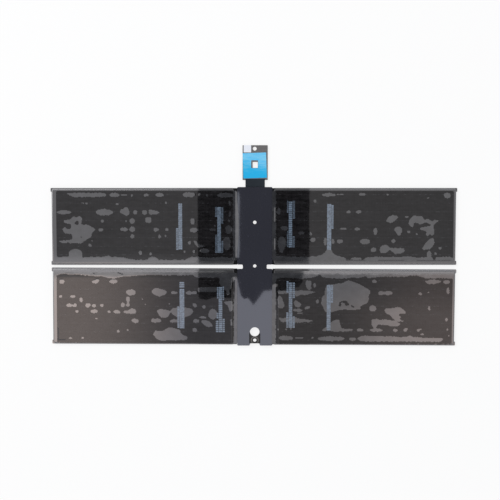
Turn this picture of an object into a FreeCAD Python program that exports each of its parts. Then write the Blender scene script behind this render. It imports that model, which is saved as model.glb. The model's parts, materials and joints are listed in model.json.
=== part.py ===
import FreeCAD, Part
import math
import os

# Laptop battery pack: four sealed pouch cells in two rows, a column between them that holds the
# protection board, and a short tail with the connector. Millimetres, +Z up. The origin is under
# the middle of the pack, on the surface it lies on: +X along the rows, +Y towards the tail.

# Cells
cell_length = 124.8
cell_width = 51.5
cell_thickness = 3.2
shoulder_radius = 0.9
corner_radius = 1.6
seam_thickness = 0.6
seam_low = 0.35
seam_high = 2.6
seam_radius = 0.28
ear_reach = 0.75
ear_length = 2.7
ear_height = 1.4
terrace_length = 2.9
terrace_thickness = 0.3
terrace_inset = 0.3
wing_inset = 0.1
wing_clearance = 0.2
sealant_width = 8.0
sealant_rise = 0.08

# Where the rows lie
row_gap = 2.5
middle_y = -14.4
lower_row_skew = -0.28
column_gap = 1.45

# Cell tabs
tab_width = 5.0
tab_thickness = 0.1
pad_from_row_edge = 14.15
tab_reach = 3.6
tab_bend = 0.35

# Adhesive and release liner
adhesive_thickness = 0.15
adhesive_inset = 0.2
liner_thickness = 0.10
liner_lift = 0.06
liner_radius = 0.8
surveyed_margin_end = 2.5
liner_margin_tail_side = 2.0
liner_margin_middle = 3.0
liner_margin_foot = 0.9
liner_past_left_cell = 1.9
liner_past_right_cell = 1.0
liner_bow = 1.2

# Centre column, which stands a little to the right of the middle and carries the tail
column_x = 0.6
column_width = 24.1
column_over_top = 0.6
column_over_foot = 0.6
neck_width = 16.4
neck_length = 2.9
column_radius = 0.5
notch_width = 6.8
notch_depth = 1.3
film_thickness = 0.1
film_overhang = 0.2
back_film_z = 0.2
back_film_relief = 0.3
frame_top = 3.0
frame_floor = 0.58
frame_wall = 0.8
terrace_clearance = 0.4

# Holes on the centre line
screw_radius = 1.2
tail_screw_radius = 1.3
boss_radius = 2.3
upper_screw_from_top = 24.13
middle_screw_over_middle = 0.45
lower_screw_from_foot = 3.5
locating_from_foot = 9.4
locating_radius = 3.3
locating_lead_in = 0.3
rim_inner_radius = 1.6
rim_outer_radius = 2.05
rim_height = 0.35
recess_depth = 0.8
film_cut_width = 7.7
core_inset = 1.0
core_width = 4.6

# Protection board
board_thickness = 0.8
board_clearance = 0.4
board_end_from_foot = 14.25
pad_length = 4.2
pad_width = 6.4
stake_radius = 0.5
stake_head_radius = 0.9
stake_head_height = 0.3
stake_inset = 1.9
foot_stake_x = 3.2
stake_clearance = 0.1

# Parts on the protection board: what they stand by, x, distance along Y, length, width, height,
# and the length of an end cap
CHIPS = {
    "charge_transistor": ("top", -2.5, -11.5, 4.4, 4.2, 0.9),
    "discharge_transistor": ("top", 2.5, -11.5, 4.4, 4.2, 0.9),
    "gauge_chip": ("middle", 0, 19.4, 4.0, 4.0, 0.85),
    "second_protector": ("middle", -2.4, -10.6, 2.4, 2.0, 0.7),
}
TWO_ENDED = {
    "chemical_fuse": ("top", 0, -6.9, 4.4, 3.2, 1.0, 0.8),
    "sense_resistor": ("middle", 0, 11.4, 6.3, 3.0, 0.6, 1.0),
    "thermistor": ("middle", 2.6, -10.6, 1.6, 0.8, 0.8, 0.35),
    "capacitor_1": ("middle", -2.4, -16.6, 1.6, 0.9, 0.8, 0.35),
    "capacitor_2": ("middle", 2.4, -16.6, 1.6, 0.9, 0.8, 0.35),
    "capacitor_3": ("board_end", -2.4, 12.3, 1.6, 0.9, 0.8, 0.35),
    "capacitor_4": ("board_end", 2.4, 12.3, 1.6, 0.9, 0.8, 0.35),
}
chip_bevel = 0.15
cap_step = 0.06

# Tail
tail_x = 0.25
flex_width = 13.3
flex_thickness = 0.2
flex_on_board = 3.4
flex_on_tail = 0.85
tail_gap = 4.8
tail_width = 17.2
tail_length = 23.7
tail_radius = 0.2
tail_hole_inset = 2.35
opening_width = 3.5
opening_length = 4.1
opening_shift = 0.05
opening_from_end = 11.35
tape_width = 16.1
tape_length = 17.2
tape_thickness = 0.06
tape_shift = -0.3
tape_from_end = 5.2
tape_turn = 2.0
tape_window_margin = 0.15
tape_window_left = 1.0
tape_window_top = 1.1
label_width = 5.1
label_length = 4.9
label_inset = 0.75
label_thickness = 0.08
connector_length = 12.4
connector_width = 5.2
connector_wall = 0.8
connector_depth = 0.4
connector_from_end = 5.3
contact_count = 8
contact_width = 0.5
contact_pitch = 1.25
contact_thickness = 0.12

# Corners with a smaller radius than this are straight bevels, and small posts have eight sides
smallest_arc = 0.9
post_sides = 8

# A height above everything, for cuts
clear_top = 4.0

# Heights and places that follow from the sizes above
row_width = cell_width + 2 * seam_thickness
upper_row_y = middle_y + (row_gap + row_width) / 2
lower_row_y = middle_y - (row_gap + row_width) / 2
pack_top = upper_row_y + row_width / 2
pack_foot = lower_row_y - row_width / 2
column_top = pack_top + column_over_top
column_foot = pack_foot - column_over_foot
upper_screw_y = column_top - upper_screw_from_top
middle_screw_y = middle_y + middle_screw_over_middle
lower_screw_y = column_foot + lower_screw_from_foot
locating_y = column_foot + locating_from_foot
board_end_y = column_foot + board_end_from_foot
tab_spacing = row_width - 2 * pad_from_row_edge - pad_width
cell_start = column_width / 2 + column_gap
cell_end = cell_start + cell_length
frame_z = back_film_z + film_thickness
board_z = frame_z + frame_floor
board_top = board_z + board_thickness
terrace_z = board_top
tab_z = terrace_z + (terrace_thickness - tab_thickness) / 2
tail_start = column_top + tail_gap
tail_end = tail_start + tail_length
adhesive_z = cell_thickness
liner_z = adhesive_z + adhesive_thickness
liner_top = liner_z + liner_thickness + liner_lift
ANCHORS = {"top": column_top, "middle": middle_y, "board_end": board_end_y}

# Margin of each liner at the far end of its cell
LINER_MARGIN_ENDS = {"upper_left": 3.2, "upper_right": 1.8, "lower_left": 2.8, "lower_right": 1.9}

# The four places of a cell: side along X (-1 left, +1 right), and row along Y (+1 upper, -1 lower)
PLACES = {
    "upper_left": (-1, 1),
    "upper_right": (1, 1),
    "lower_left": (-1, -1),
    "lower_right": (1, -1),
}

# How each liner has wetted and let go, in millimetres on the sheet as it was surveyed: x from its
# left end, y down from its upper edge. The marks stretch with the sheet.
SURVEYED_LENGTH = 124.0
SURVEYED_WIDTH = {1: 47.7, -1: 48.8}

# A let-go oval is (x, y, length, width) and sometimes a turn in degrees
OVALS = {
    "upper_left": [
        (40.5, 2.9, 7.4, 2.9), (52.5, 3.1, 1.8, 2.0), (62.1, 2.9, 3.6, 2.2), (71.4, 2.8, 6.0, 2.6),
        (91.4, 2.6, 8.7, 3.4), (98.8, 2.4, 2.0, 1.8), (115.9, 3.0, 10.4, 3.3), (21.4, 8.6, 2.2, 1.6),
        (42.4, 8.9, 2.4, 1.4), (6.0, 14.6, 10.2, 2.4), (33.6, 14.6, 11.9, 4.3), (54.6, 14.6, 2.9, 3.0),
        (61.1, 14.6, 3.5, 3.2), (63.5, 19.9, 4.6, 4.1), (52.5, 20.7, 3.8, 3.8), (32.0, 20.7, 2.4, 2.3),
        (31.1, 26.6, 3.2, 2.2), (46.8, 26.4, 5.5, 2.5), (52.5, 26.2, 3.7, 3.6), (52.7, 31.2, 2.7, 2.9),
        (68.8, 26.5, 3.4, 2.6), (76.2, 26.4, 2.2, 2.2), (71.1, 31.2, 1.7, 2.9), (93.8, 20.8, 3.4, 4.3),
        (94.7, 26.7, 6.2, 3.0), (91.6, 35.6, 2.2, 2.8), (102.0, 41.0, 6.6, 3.1), (88.2, 41.5, 1.6, 2.0),
        (94.7, 41.5, 2.0, 2.4), (23.6, 37.1, 3.2, 1.7, -40), (13.5, 43.4, 9.4, 7.4), (58.0, 42.3, 2.1, 2.7),
        (64.9, 42.9, 1.9, 2.4), (118.3, 26.4, 4.6, 5.8), (117.0, 36.0, 5.4, 9.0), (66.5, 46.6, 6.5, 3.0),
        (35.5, 45.2, 3.4, 1.6),
    ],
    "upper_right": [
        (38.8, 2.7, 9.6, 2.3), (61.8, 2.4, 5.0, 2.1), (29.3, 6.9, 2.0, 2.9), (52.5, 14.5, 3.0, 2.0),
        (59.5, 14.4, 4.0, 2.1), (92.5, 17.7, 3.0, 1.6), (94.1, 28.0, 2.4, 2.0), (71.0, 27.6, 2.8, 5.0),
        (48.9, 26.0, 5.0, 1.7), (58.5, 26.1, 4.0, 2.2), (27.8, 33.4, 4.2, 2.9), (26.2, 29.3, 2.4, 2.4),
        (46.7, 34.4, 4.5, 3.0), (63.9, 34.6, 7.2, 3.6), (83.6, 34.3, 3.2, 2.8), (69.8, 40.2, 4.4, 3.0),
        (115.8, 39.1, 2.4, 1.8), (108.2, 43.3, 3.2, 4.8), (112.7, 42.9, 1.9, 2.2), (4.6, 14.0, 2.2, 4.8),
        (8.5, 25.4, 5.2, 3.2), (6.6, 36.0, 5.6, 9.6), (6.2, 41.4, 3.0, 2.0), (20.2, 28.8, 4.2, 2.2),
        (36.6, 34.7, 2.2, 5.4), (41.8, 34.6, 2.0, 3.8), (58.0, 46.1, 9.0, 1.1),
    ],
    "lower_left": [
        (3.8, 6.6, 3.5, 3.2), (39.2, 6.3, 6.2, 2.6), (51.1, 13.8, 6.5, 4.2), (80.8, 13.8, 5.4, 2.0),
        (91.0, 14.0, 4.5, 2.5), (95.0, 13.8, 3.6, 2.6), (2.9, 16.8, 2.2, 2.0), (11.3, 16.8, 4.6, 1.6),
        (17.0, 19.0, 2.2, 3.4), (49.3, 18.4, 2.8, 3.5), (49.1, 20.7, 1.3, 3.0), (45.6, 22.5, 2.9, 3.3),
        (49.2, 22.7, 3.0, 2.4), (8.9, 23.0, 4.0, 2.4), (12.7, 22.9, 2.7, 2.4), (21.7, 22.9, 3.6, 3.3),
        (25.9, 23.1, 2.5, 2.5), (31.2, 22.9, 2.9, 2.1), (14.2, 27.1, 2.2, 2.0), (25.9, 27.0, 5.3, 2.5),
        (36.1, 27.3, 2.5, 1.9), (41.6, 27.3, 4.9, 2.6, -10), (54.2, 33.4, 4.9, 2.9, -12),
        (68.5, 33.2, 7.0, 3.0), (81.0, 33.5, 6.2, 2.4), (95.0, 22.4, 3.6, 2.4, -30),
        (101.2, 23.5, 2.4, 2.4), (96.0, 33.4, 4.6, 2.8), (107.4, 28.7, 5.8, 7.0), (100.6, 31.0, 5.4, 1.6),
        (95.0, 39.6, 3.3, 3.0), (42.4, 40.8, 1.9, 2.4), (48.8, 39.8, 1.6, 1.9), (9.6, 45.6, 3.2, 1.5),
        (18.0, 45.5, 2.2, 1.4),
    ],
    "lower_right": [
        (69.6, 24.1, 4.8, 4.5), (75.0, 13.4, 3.8, 2.8), (80.0, 13.4, 6.8, 2.9), (70.4, 5.4, 3.3, 2.5),
        (120.4, 5.7, 4.6, 3.0), (121.4, 11.6, 2.0, 4.6), (72.1, 39.1, 9.2, 2.2), (61.0, 39.1, 5.0, 2.2),
        (85.3, 39.1, 3.9, 2.0), (92.5, 38.8, 3.2, 2.0, 35), (9.6, 44.9, 10.2, 3.1), (41.1, 45.2, 19.2, 3.2),
        (56.0, 45.4, 5.2, 2.2), (29.3, 8.4, 1.8, 3.4), (108.6, 23.8, 1.8, 3.2), (17.8, 25.6, 7.0, 2.0),
        (24.3, 23.8, 4.6, 1.9, 20), (31.3, 19.4, 2.3, 2.8), (120.8, 31.6, 1.6, 3.2), (104.2, 41.9, 2.8, 1.5),
        (101.4, 39.1, 2.1, 1.8), (102.3, 13.7, 2.9, 1.9),
    ],
}

# Larger let-go patches, as outlines
PATCHES = {
    "upper_left": [
        [(7.4, 1.4), (34.2, 1.5), (35.2, 2.4), (34.6, 3.8), (24.0, 4.4), (13.0, 4.4), (10.3, 3.2)],
        [(44.5, 12.6), (46.8, 12.3), (47.6, 10.8), (49.0, 10.9), (51.0, 14.4), (50.4, 16.4), (48.6, 17.0),
         (46.2, 15.9), (44.4, 14.8)],
        [(64.0, 12.7), (68.0, 13.3), (72.3, 14.9), (68.0, 16.0), (64.2, 16.3)],
        [(5.6, 19.8), (10.1, 19.6), (12.7, 17.0), (14.5, 18.2), (16.8, 17.1), (18.5, 18.6), (17.6, 23.2),
         (16.2, 23.3), (15.5, 20.2), (14.5, 20.2), (12.4, 23.4), (5.8, 21.6)],
        [(11.3, 23.2), (21.7, 22.9), (27.8, 26.3), (25.2, 28.3), (24.1, 31.9), (21.4, 33.2), (17.9, 35.8),
         (9.4, 36.0), (7.7, 35.2), (6.2, 36.0), (1.5, 34.5), (11.8, 33.1), (11.1, 29.5), (6.3, 29.0),
         (4.6, 26.4), (6.3, 24.6), (8.0, 25.9), (9.9, 26.4)],
        [(94.0, 34.3), (96.4, 34.0), (98.4, 36.6), (102.3, 37.2), (101.5, 38.2), (97.3, 38.7), (95.6, 36.8)],
    ],
    "upper_right": [
        [(117.4, 2.1), (119.2, 1.3), (121.6, 1.6), (122.6, 2.6), (122.6, 4.5), (119.4, 5.2), (118.1, 3.8)],
        [(78.3, 21.1), (79.7, 17.9), (82.2, 16.6), (85.4, 16.6), (86.8, 18.1), (84.9, 20.0), (82.9, 21.6),
         (80.6, 21.7)],
        [(93.7, 21.0), (95.2, 18.6), (97.3, 16.5), (100.0, 17.3), (102.8, 17.0), (104.9, 19.9),
         (107.2, 19.0), (109.9, 21.1), (111.7, 19.6), (116.2, 20.1), (113.0, 21.3), (111.3, 23.1),
         (109.2, 23.0), (105.5, 21.4), (101.7, 23.1), (100.0, 21.7), (96.9, 21.9), (97.3, 24.9),
         (94.5, 23.9)],
        [(109.1, 22.4), (111.3, 22.4), (110.7, 24.7), (111.6, 27.1), (111.3, 30.3), (109.9, 30.7),
         (108.6, 29.5), (106.9, 31.5), (105.7, 29.7), (106.5, 27.8), (102.1, 26.5), (101.6, 25.2),
         (107.4, 24.0), (109.3, 23.9)],
        [(83.6, 26.8), (84.9, 24.7), (87.7, 24.3), (89.5, 25.8), (88.9, 28.5), (88.0, 30.8), (86.3, 30.0),
         (85.2, 28.3)],
        [(102.9, 40.0), (105.1, 36.3), (107.9, 33.2), (110.4, 32.0), (111.8, 33.6), (111.5, 36.5),
         (109.2, 39.6), (105.4, 40.4)],
        [(73.8, 40.1), (75.3, 37.2), (78.1, 36.8), (80.2, 37.6), (81.3, 39.8), (79.1, 42.0), (76.4, 42.9),
         (74.8, 42.5)],
        [(80.2, 39.2), (90.9, 39.0), (91.2, 41.6), (89.1, 42.6), (86.7, 42.6), (84.9, 43.7), (83.4, 42.2)],
    ],
    "lower_left": [
        [(23.1, 5.5), (24.8, 6.1), (28.2, 4.6), (30.0, 5.1), (28.6, 7.0), (27.2, 8.2), (24.6, 7.1)],
        [(65.2, 13.9), (66.2, 11.9), (68.3, 10.5), (71.4, 11.3), (75.2, 12.2), (75.9, 13.6), (74.8, 15.1),
         (71.8, 16.4), (69.6, 16.4), (67.5, 15.4)],
        [(45.7, 26.6), (49.5, 26.1), (51.5, 24.9), (54.0, 25.2), (54.9, 27.3), (53.9, 28.7), (49.5, 28.8),
         (46.2, 27.9)],
        [(68.5, 26.5), (71.7, 25.1), (76.9, 26.0), (78.5, 27.3), (76.9, 30.4), (74.4, 31.3), (71.4, 30.8),
         (70.2, 28.6)],
        [(78.1, 26.6), (79.8, 24.4), (85.1, 23.9), (92.6, 24.6), (94.2, 26.9), (92.6, 29.1), (88.5, 30.8),
         (83.4, 31.1), (79.9, 28.9)],
        [(98.7, 32.8), (104.3, 33.2), (106.3, 34.8), (107.4, 36.7), (106.0, 37.5), (102.9, 37.2),
         (100.4, 35.2)],
        [(66.6, 43.0), (66.9, 41.0), (68.3, 39.9), (70.0, 40.8), (73.8, 40.3), (76.2, 38.3), (77.9, 37.8),
         (80.3, 38.2), (84.9, 39.6), (85.4, 42.3), (87.5, 43.3), (89.3, 44.0), (90.5, 45.4), (89.3, 46.6),
         (79.6, 47.0), (71.4, 46.9), (68.8, 46.0)],
        [(114.0, 19.8), (120.7, 19.0), (121.0, 26.2), (119.0, 27.0), (117.8, 22.8)],
        [(112.1, 1.4), (123.0, 1.4), (122.4, 5.2), (120.2, 6.4), (120.0, 10.5), (118.6, 12.2), (119.0, 14.6),
         (116.8, 15.4), (116.6, 12.5), (113.6, 9.8), (111.7, 7.6)],
    ],
    "lower_right": [
        [(38.4, 7.9), (41.8, 7.5), (48.0, 6.8), (50.7, 5.7), (52.4, 4.6), (58.9, 6.8), (65.1, 9.9),
         (68.5, 12.9), (66.6, 15.1), (66.7, 18.6), (64.4, 22.8), (61.3, 24.5), (56.9, 25.2), (46.6, 25.2),
         (42.5, 26.5), (37.0, 26.9), (33.8, 20.6), (34.5, 16.2), (36.6, 14.8), (36.6, 10.3)],
        [(104.8, 4.7), (108.9, 4.3), (111.0, 3.6), (113.0, 4.3), (116.6, 4.7), (116.1, 6.0), (112.3, 6.9),
         (107.4, 6.9)],
        [(77.7, 24.7), (79.5, 23.7), (82.9, 23.9), (87.7, 22.8), (90.4, 24.4), (92.6, 26.4), (92.1, 28.1),
         (88.0, 27.8), (87.3, 28.8), (90.1, 29.9), (87.7, 31.1), (88.7, 31.9), (92.2, 32.5), (90.8, 33.3),
         (85.6, 32.6), (83.1, 30.7), (81.8, 28.4), (79.8, 27.9), (78.0, 26.5)],
        [(68.3, 32.3), (69.5, 31.2), (73.3, 31.3), (74.7, 32.2), (76.7, 31.7), (81.5, 32.1), (84.9, 32.9),
         (89.5, 34.5), (87.7, 36.1), (84.3, 36.7), (81.2, 36.0), (76.0, 35.4), (73.0, 35.3), (72.6, 36.7),
         (70.8, 37.5), (69.3, 36.0), (69.3, 33.6)],
        [(58.8, 44.9), (61.7, 43.2), (74.0, 43.1), (90.4, 43.8), (93.8, 43.4), (95.6, 42.3), (97.6, 43.8),
         (108.2, 44.3), (117.1, 44.1), (119.2, 45.3), (116.5, 46.9), (87.7, 47.1), (61.7, 46.9)],
        [(4.0, 16.5), (5.5, 15.4), (6.9, 17.2), (8.7, 22.7), (7.9, 24.0), (4.1, 24.3)],
        [(3.8, 11.8), (19.2, 11.6), (26.0, 12.2), (31.2, 12.9), (26.7, 13.9), (22.6, 15.4), (20.8, 14.5),
         (16.4, 16.3), (15.8, 14.3), (3.8, 14.1)],
        [(22.9, 5.2), (25.7, 4.8), (27.2, 5.9), (26.7, 8.6), (27.6, 10.9), (24.7, 11.6), (23.2, 9.0)],
        [(4.0, 30.3), (7.5, 31.2), (15.1, 30.0), (18.5, 31.4), (24.7, 32.1), (29.6, 32.8), (25.0, 33.9),
         (16.4, 34.1), (6.2, 33.6)],
        [(41.1, 33.6), (43.8, 32.1), (46.2, 31.8), (47.3, 34.3), (47.7, 37.4), (49.3, 38.2), (56.6, 38.5),
         (55.8, 39.9), (47.3, 40.2), (44.5, 40.6), (41.1, 39.8), (33.6, 39.6), (37.7, 37.1)],
        [(15.0, 18.9), (17.8, 19.0), (20.6, 21.8), (18.5, 24.0), (15.4, 22.5)],
    ],
}

# The wavy edge of the wetted area on the long side where the liner stands off, from left to right
WAVES = {
    "upper_left": [
        (0.0, 45.0), (8.1, 45.0), (18.1, 45.5), (25.3, 45.0), (33.0, 44.9), (34.5, 44.3), (36.4, 44.9),
        (46.8, 45.6), (51.3, 46.8), (62.0, 47.3), (71.2, 47.2), (88.8, 47.0), (90.3, 46.0), (92.6, 45.2),
        (97.4, 45.1), (105.6, 45.8), (113.5, 45.2), (121.4, 45.6),
    ],
    "upper_right": [
        (2.6, 44.7), (18.9, 45.2), (30.4, 44.7), (34.2, 43.7), (36.6, 41.8), (37.6, 39.9), (40.7, 39.9),
        (41.5, 42.2), (43.4, 43.9), (47.2, 44.9), (50.6, 45.9), (51.4, 47.3), (63.2, 47.0), (64.8, 45.6),
        (71.7, 45.0), (84.6, 45.0), (87.7, 45.6), (92.3, 44.7), (96.1, 44.9), (99.9, 45.6), (109.1, 45.6),
        (110.3, 44.9), (111.0, 47.3), (112.3, 47.3), (113.1, 45.0), (122.5, 44.9), (124.0, 46.2),
    ],
    "lower_left": [
        (0.0, 2.4), (2.3, 1.6), (6.1, 0.9), (10.3, 1.8), (14.5, 1.2), (17.6, 1.8), (22.9, 2.4), (30.6, 2.7),
        (35.1, 3.7), (39.7, 4.2), (44.3, 3.2), (50.4, 2.7), (55.0, 2.2), (61.1, 1.8), (87.1, 1.6),
        (94.0, 1.9), (95.4, 3.3), (104.0, 3.2), (112.0, 3.4), (121.7, 3.6),
    ],
    "lower_right": [
        (2.7, 3.8), (8.2, 3.0), (20.6, 3.9), (23.7, 3.3), (29.8, 2.7), (32.5, 0.8), (34.8, 2.6),
        (42.0, 3.5), (49.7, 3.3), (57.3, 3.1), (62.7, 2.7), (64.1, 1.2), (65.4, 2.9), (71.9, 2.7),
        (75.7, 2.1), (92.5, 2.1), (95.6, 1.3), (99.4, 1.3), (102.8, 2.3), (105.5, 2.9), (117.0, 2.9),
        (122.3, 3.2), (124.0, 3.6),
    ],
}

# Where the wetted area ends beside the column, and curls that stay wet inside a let-go patch
WETTED_INNER_EDGE = {"upper_left": 121.4, "upper_right": 2.6, "lower_left": 121.7, "lower_right": 2.7}
WET_CURLS = {
    "lower_right": [
        (47.1, 21.3, 1.5, 3.8), (49.9, 19.5, 4.6, 1.4), (51.7, 21.3, 3.2, 2.0), (55.6, 22.6, 4.0, 1.2, -35),
        (63.0, 22.3, 6.2, 1.3, 28),
    ],
}
PAST_THE_EDGE = 1.0


def point(x, y, z=0.0):
    return FreeCAD.Vector(x, y, z)


def block(x0, x1, y0, y1, z0, z1):
    return Part.makeBox(x1 - x0, y1 - y0, z1 - z0, point(x0, y0, z0))


def rod(x, y, radius, z0, z1):
    return Part.makeCylinder(radius, z1 - z0, point(x, y, z0))


def post(x, y, radius, z0, z1):
    """A small post, or the hole for one, with flat sides."""
    corners = []
    for i in range(post_sides):
        angle = (i + 0.5) * 2 * math.pi / post_sides
        corners.append(point(x + radius * math.cos(angle), y + radius * math.sin(angle), z0))
    return Part.Face(Part.makePolygon(corners + corners[:1])).extrude(point(0, 0, z1 - z0))


def rounded_face(corners, radius):
    """Flat outline with arcs or small bevels at its corners, no larger than its sides allow."""
    stops = []
    for i, corner in enumerate(corners):
        back = corners[i - 1] - corner
        ahead = corners[(i + 1) % len(corners)] - corner
        half_angle = back.getAngle(ahead) / 2
        run = min(radius / math.tan(half_angle), 0.45 * min(back.Length, ahead.Length))
        back.normalize()
        ahead.normalize()
        middle = back + ahead
        middle.normalize()
        arc_radius = run * math.tan(half_angle)
        depth = arc_radius / math.sin(half_angle) - arc_radius
        stops.append((corner + back * run, corner + middle * depth, corner + ahead * run))
    edges = []
    for i, (start, middle, end) in enumerate(stops):
        if radius < smallest_arc:
            edges.append(Part.makeLine(start, end))
        else:
            edges.append(Part.Arc(start, middle, end).toShape())
        edges.append(Part.makeLine(end, stops[(i + 1) % len(stops)][0]))
    return Part.Face(Part.Wire(edges))


def rectangle(x0, x1, y0, y1, radius):
    return rounded_face([point(x0, y0), point(x1, y0), point(x1, y1), point(x0, y1)], radius)


def raised(face, z0, z1):
    """The flat face, given a thickness from z0 to z1."""
    lifted = face.copy()
    lifted.translate(point(0, 0, z0))
    return lifted.extrude(point(0, 0, z1 - z0))


def save(name, shape, x=0.0):
    """Writes a part, moved by x along the rows."""
    shape.translate(point(x, 0))
    shape.Solids[0].exportStep(os.path.join("parts", name + ".step"))
    print(name, len(shape.Solids), shape.isValid(), round(shape.Volume, 3))


def row_y(row):
    return upper_row_y if row > 0 else lower_row_y


def skewed(shape, row):
    """The lower row lies a little askew of the upper one."""
    if row < 0:
        shape.rotate(point(0, lower_row_y), point(0, 0, 1), lower_row_skew)
    return shape


def in_place(shape, side, row):
    """Takes a shape made with +X away from the column to its side and row."""
    placed = shape.copy()
    if side < 0:
        placed.rotate(point(0, 0), point(0, 0, 1), 180)
    placed.translate(point(0, row_y(row)))
    return skewed(placed, row)


def folded_seam(direction):
    """A side seam folded up against the cell, with the small ear where it ends."""
    wall = cell_width / 2
    inner = wall - 1.5 * shoulder_radius
    outer = wall + seam_thickness
    corners = [
        point(0, inner, seam_low),
        point(0, outer, seam_low),
        point(0, outer, seam_high),
        point(0, inner, seam_high),
    ]
    section = rounded_face(corners, seam_radius)
    section.translate(point(cell_start + corner_radius / 2, 0))
    strip = section.extrude(point(cell_length - corner_radius, 0))
    ear_low = (seam_low + seam_high - ear_height) / 2
    ear = raised(rectangle(cell_end - 2 * corner_radius, cell_end + ear_reach, outer - ear_length, outer,
                           ear_reach / 2), ear_low, ear_low + ear_height)
    seam = strip.fuse(ear)
    if direction < 0:
        seam = seam.mirror(point(0, 0), point(0, 1, 0))
    return seam


def pouch_cell(side):
    """One sealed pouch: drawn body, two folded side seams with ears, and the flat end seam."""
    half = cell_width / 2
    body = raised(rectangle(cell_start, cell_end, -half, half, corner_radius), 0, cell_thickness)
    across = rounded_face([point(0, -half, 0), point(0, half, 0), point(0, half, cell_thickness),
                           point(0, -half, cell_thickness)], shoulder_radius)
    along = rounded_face([point(cell_start, 0, 0), point(cell_end, 0, 0),
                          point(cell_end, 0, cell_thickness), point(cell_start, 0, cell_thickness)],
                         shoulder_radius)
    across.translate(point(cell_start, 0))
    along.translate(point(0, -half))
    body = body.common(across.extrude(point(cell_length, 0))).common(along.extrude(point(0, cell_width)))
    reach = half - terrace_inset
    terrace = block(cell_start - terrace_length, cell_start + corner_radius, -reach, reach,
                    terrace_z, terrace_z + terrace_thickness)
    wing_start = column_width / 2 - film_overhang + side * column_x + wing_clearance
    wing_reach = row_width / 2 - wing_inset
    wing = block(wing_start, cell_start + corner_radius, -wing_reach, wing_reach,
                 terrace_z, terrace_z + terrace_thickness)
    pieces = [folded_seam(1), folded_seam(-1), terrace, wing]
    for y in (-tab_spacing / 2, tab_spacing / 2):
        pieces.append(block(cell_start - terrace_length, cell_start + shoulder_radius,
                            y - sealant_width / 2, y + sealant_width / 2,
                            terrace_z, terrace_z + terrace_thickness + sealant_rise))
    return body.fuse(pieces).removeSplitter()


def cell_tab(y):
    """A tab from the end seam to its weld pad, with a small round relief fold between them."""
    start = cell_start - terrace_length
    end = start - tab_reach
    fold = start - 2.5 * tab_bend
    low = tab_z
    high = tab_z + tab_thickness
    crown = tab_bend + tab_thickness / 2
    hollow = tab_bend - tab_thickness / 2
    edges = [
        Part.makeLine(point(start, y, low), point(start, y, high)),
        Part.makeLine(point(start, y, high), point(fold + crown, y, high)),
        Part.Arc(point(fold + crown, y, high), point(fold, y, high + crown),
                 point(fold - crown, y, high)).toShape(),
        Part.makeLine(point(fold - crown, y, high), point(end, y, high)),
        Part.makeLine(point(end, y, high), point(end, y, low)),
        Part.makeLine(point(end, y, low), point(fold - hollow, y, low)),
        Part.Arc(point(fold - hollow, y, low), point(fold, y, low + hollow),
                 point(fold + hollow, y, low)).toShape(),
        Part.makeLine(point(fold + hollow, y, low), point(start, y, low)),
    ]
    section = Part.Face(Part.Wire(edges))
    section.translate(point(0, -tab_width / 2))
    return section.extrude(point(0, tab_width))


def sheet_box(place, inset=0.0, margin_end=None):
    """Left, right, lower and upper edge of the liner on a cell."""
    side, row = PLACES[place]
    outer = cell_end - (LINER_MARGIN_ENDS[place] if margin_end is None else margin_end)
    inner = cell_start - (liner_past_right_cell if side > 0 else liner_past_left_cell)
    top_margin = liner_margin_tail_side if row > 0 else liner_margin_middle
    foot_margin = liner_margin_middle if row > 0 else liner_margin_foot
    left, right = (inner, outer) if side > 0 else (-outer, -inner)
    lower = row_y(row) - row_width / 2 + foot_margin
    upper = row_y(row) + row_width / 2 - top_margin
    return left + inset, right - inset, lower + inset, upper - inset


def on_sheet(place, x, y):
    """A surveyed mark, taken to its place on the sheet."""
    left, right, lower, upper = sheet_box(place, margin_end=surveyed_margin_end)
    across = (right - left) / SURVEYED_LENGTH
    down = (upper - lower) / SURVEYED_WIDTH[PLACES[place][1]]
    return point(left + x * across, upper - y * down)


def patch_face(place, marks):
    return Part.Face(Part.makePolygon([on_sheet(place, x, y) for x, y in marks + marks[:1]]))


def oval_face(place, x, y, length, width, turn=0.0):
    """A flat-sided oval that just fills its length and width, with more sides when it is longer."""
    sides = 6 + 2 * min(2, int(length / 3))
    swell = 0.5 / math.cos(math.pi / sides)
    cosine = math.cos(math.radians(turn))
    sine = math.sin(math.radians(turn))
    marks = []
    for i in range(sides):
        angle = (i + 0.5) * 2 * math.pi / sides
        along = length * swell * math.cos(angle)
        over = width * swell * math.sin(angle)
        marks.append((x + along * cosine + over * sine, y + over * cosine - along * sine))
    return patch_face(place, marks)


def wetted_face(place):
    """The area where the liner is stuck down: it runs off three edges and ends in a wavy one."""
    side, row = PLACES[place]
    wave = [on_sheet(place, x, y) for x, y in WAVES[place]]
    inner_x = on_sheet(place, WETTED_INNER_EDGE[place], 0).x
    left, right, lower, upper = sheet_box(place)
    far_y = upper + PAST_THE_EDGE if row > 0 else lower - PAST_THE_EDGE
    far_left = inner_x if side > 0 else left - PAST_THE_EDGE
    far_right = right + PAST_THE_EDGE if side > 0 else inner_x
    start = point(far_left, wave[0].y)
    end = point(far_right, wave[-1].y)
    outline = [start] + wave[1:-1] + [end, point(far_right, far_y), point(far_left, far_y), start]
    return Part.Face(Part.makePolygon(outline))


def adhesive_sheet(place):
    side, row = PLACES[place]
    left, right, lower, upper = sheet_box(place, adhesive_inset)
    inner = cell_start + shoulder_radius
    left, right = (inner, right) if side > 0 else (left, -inner)
    sheet = raised(rectangle(left, right, lower, upper, liner_radius), adhesive_z, liner_z)
    return skewed(sheet, row)


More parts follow.
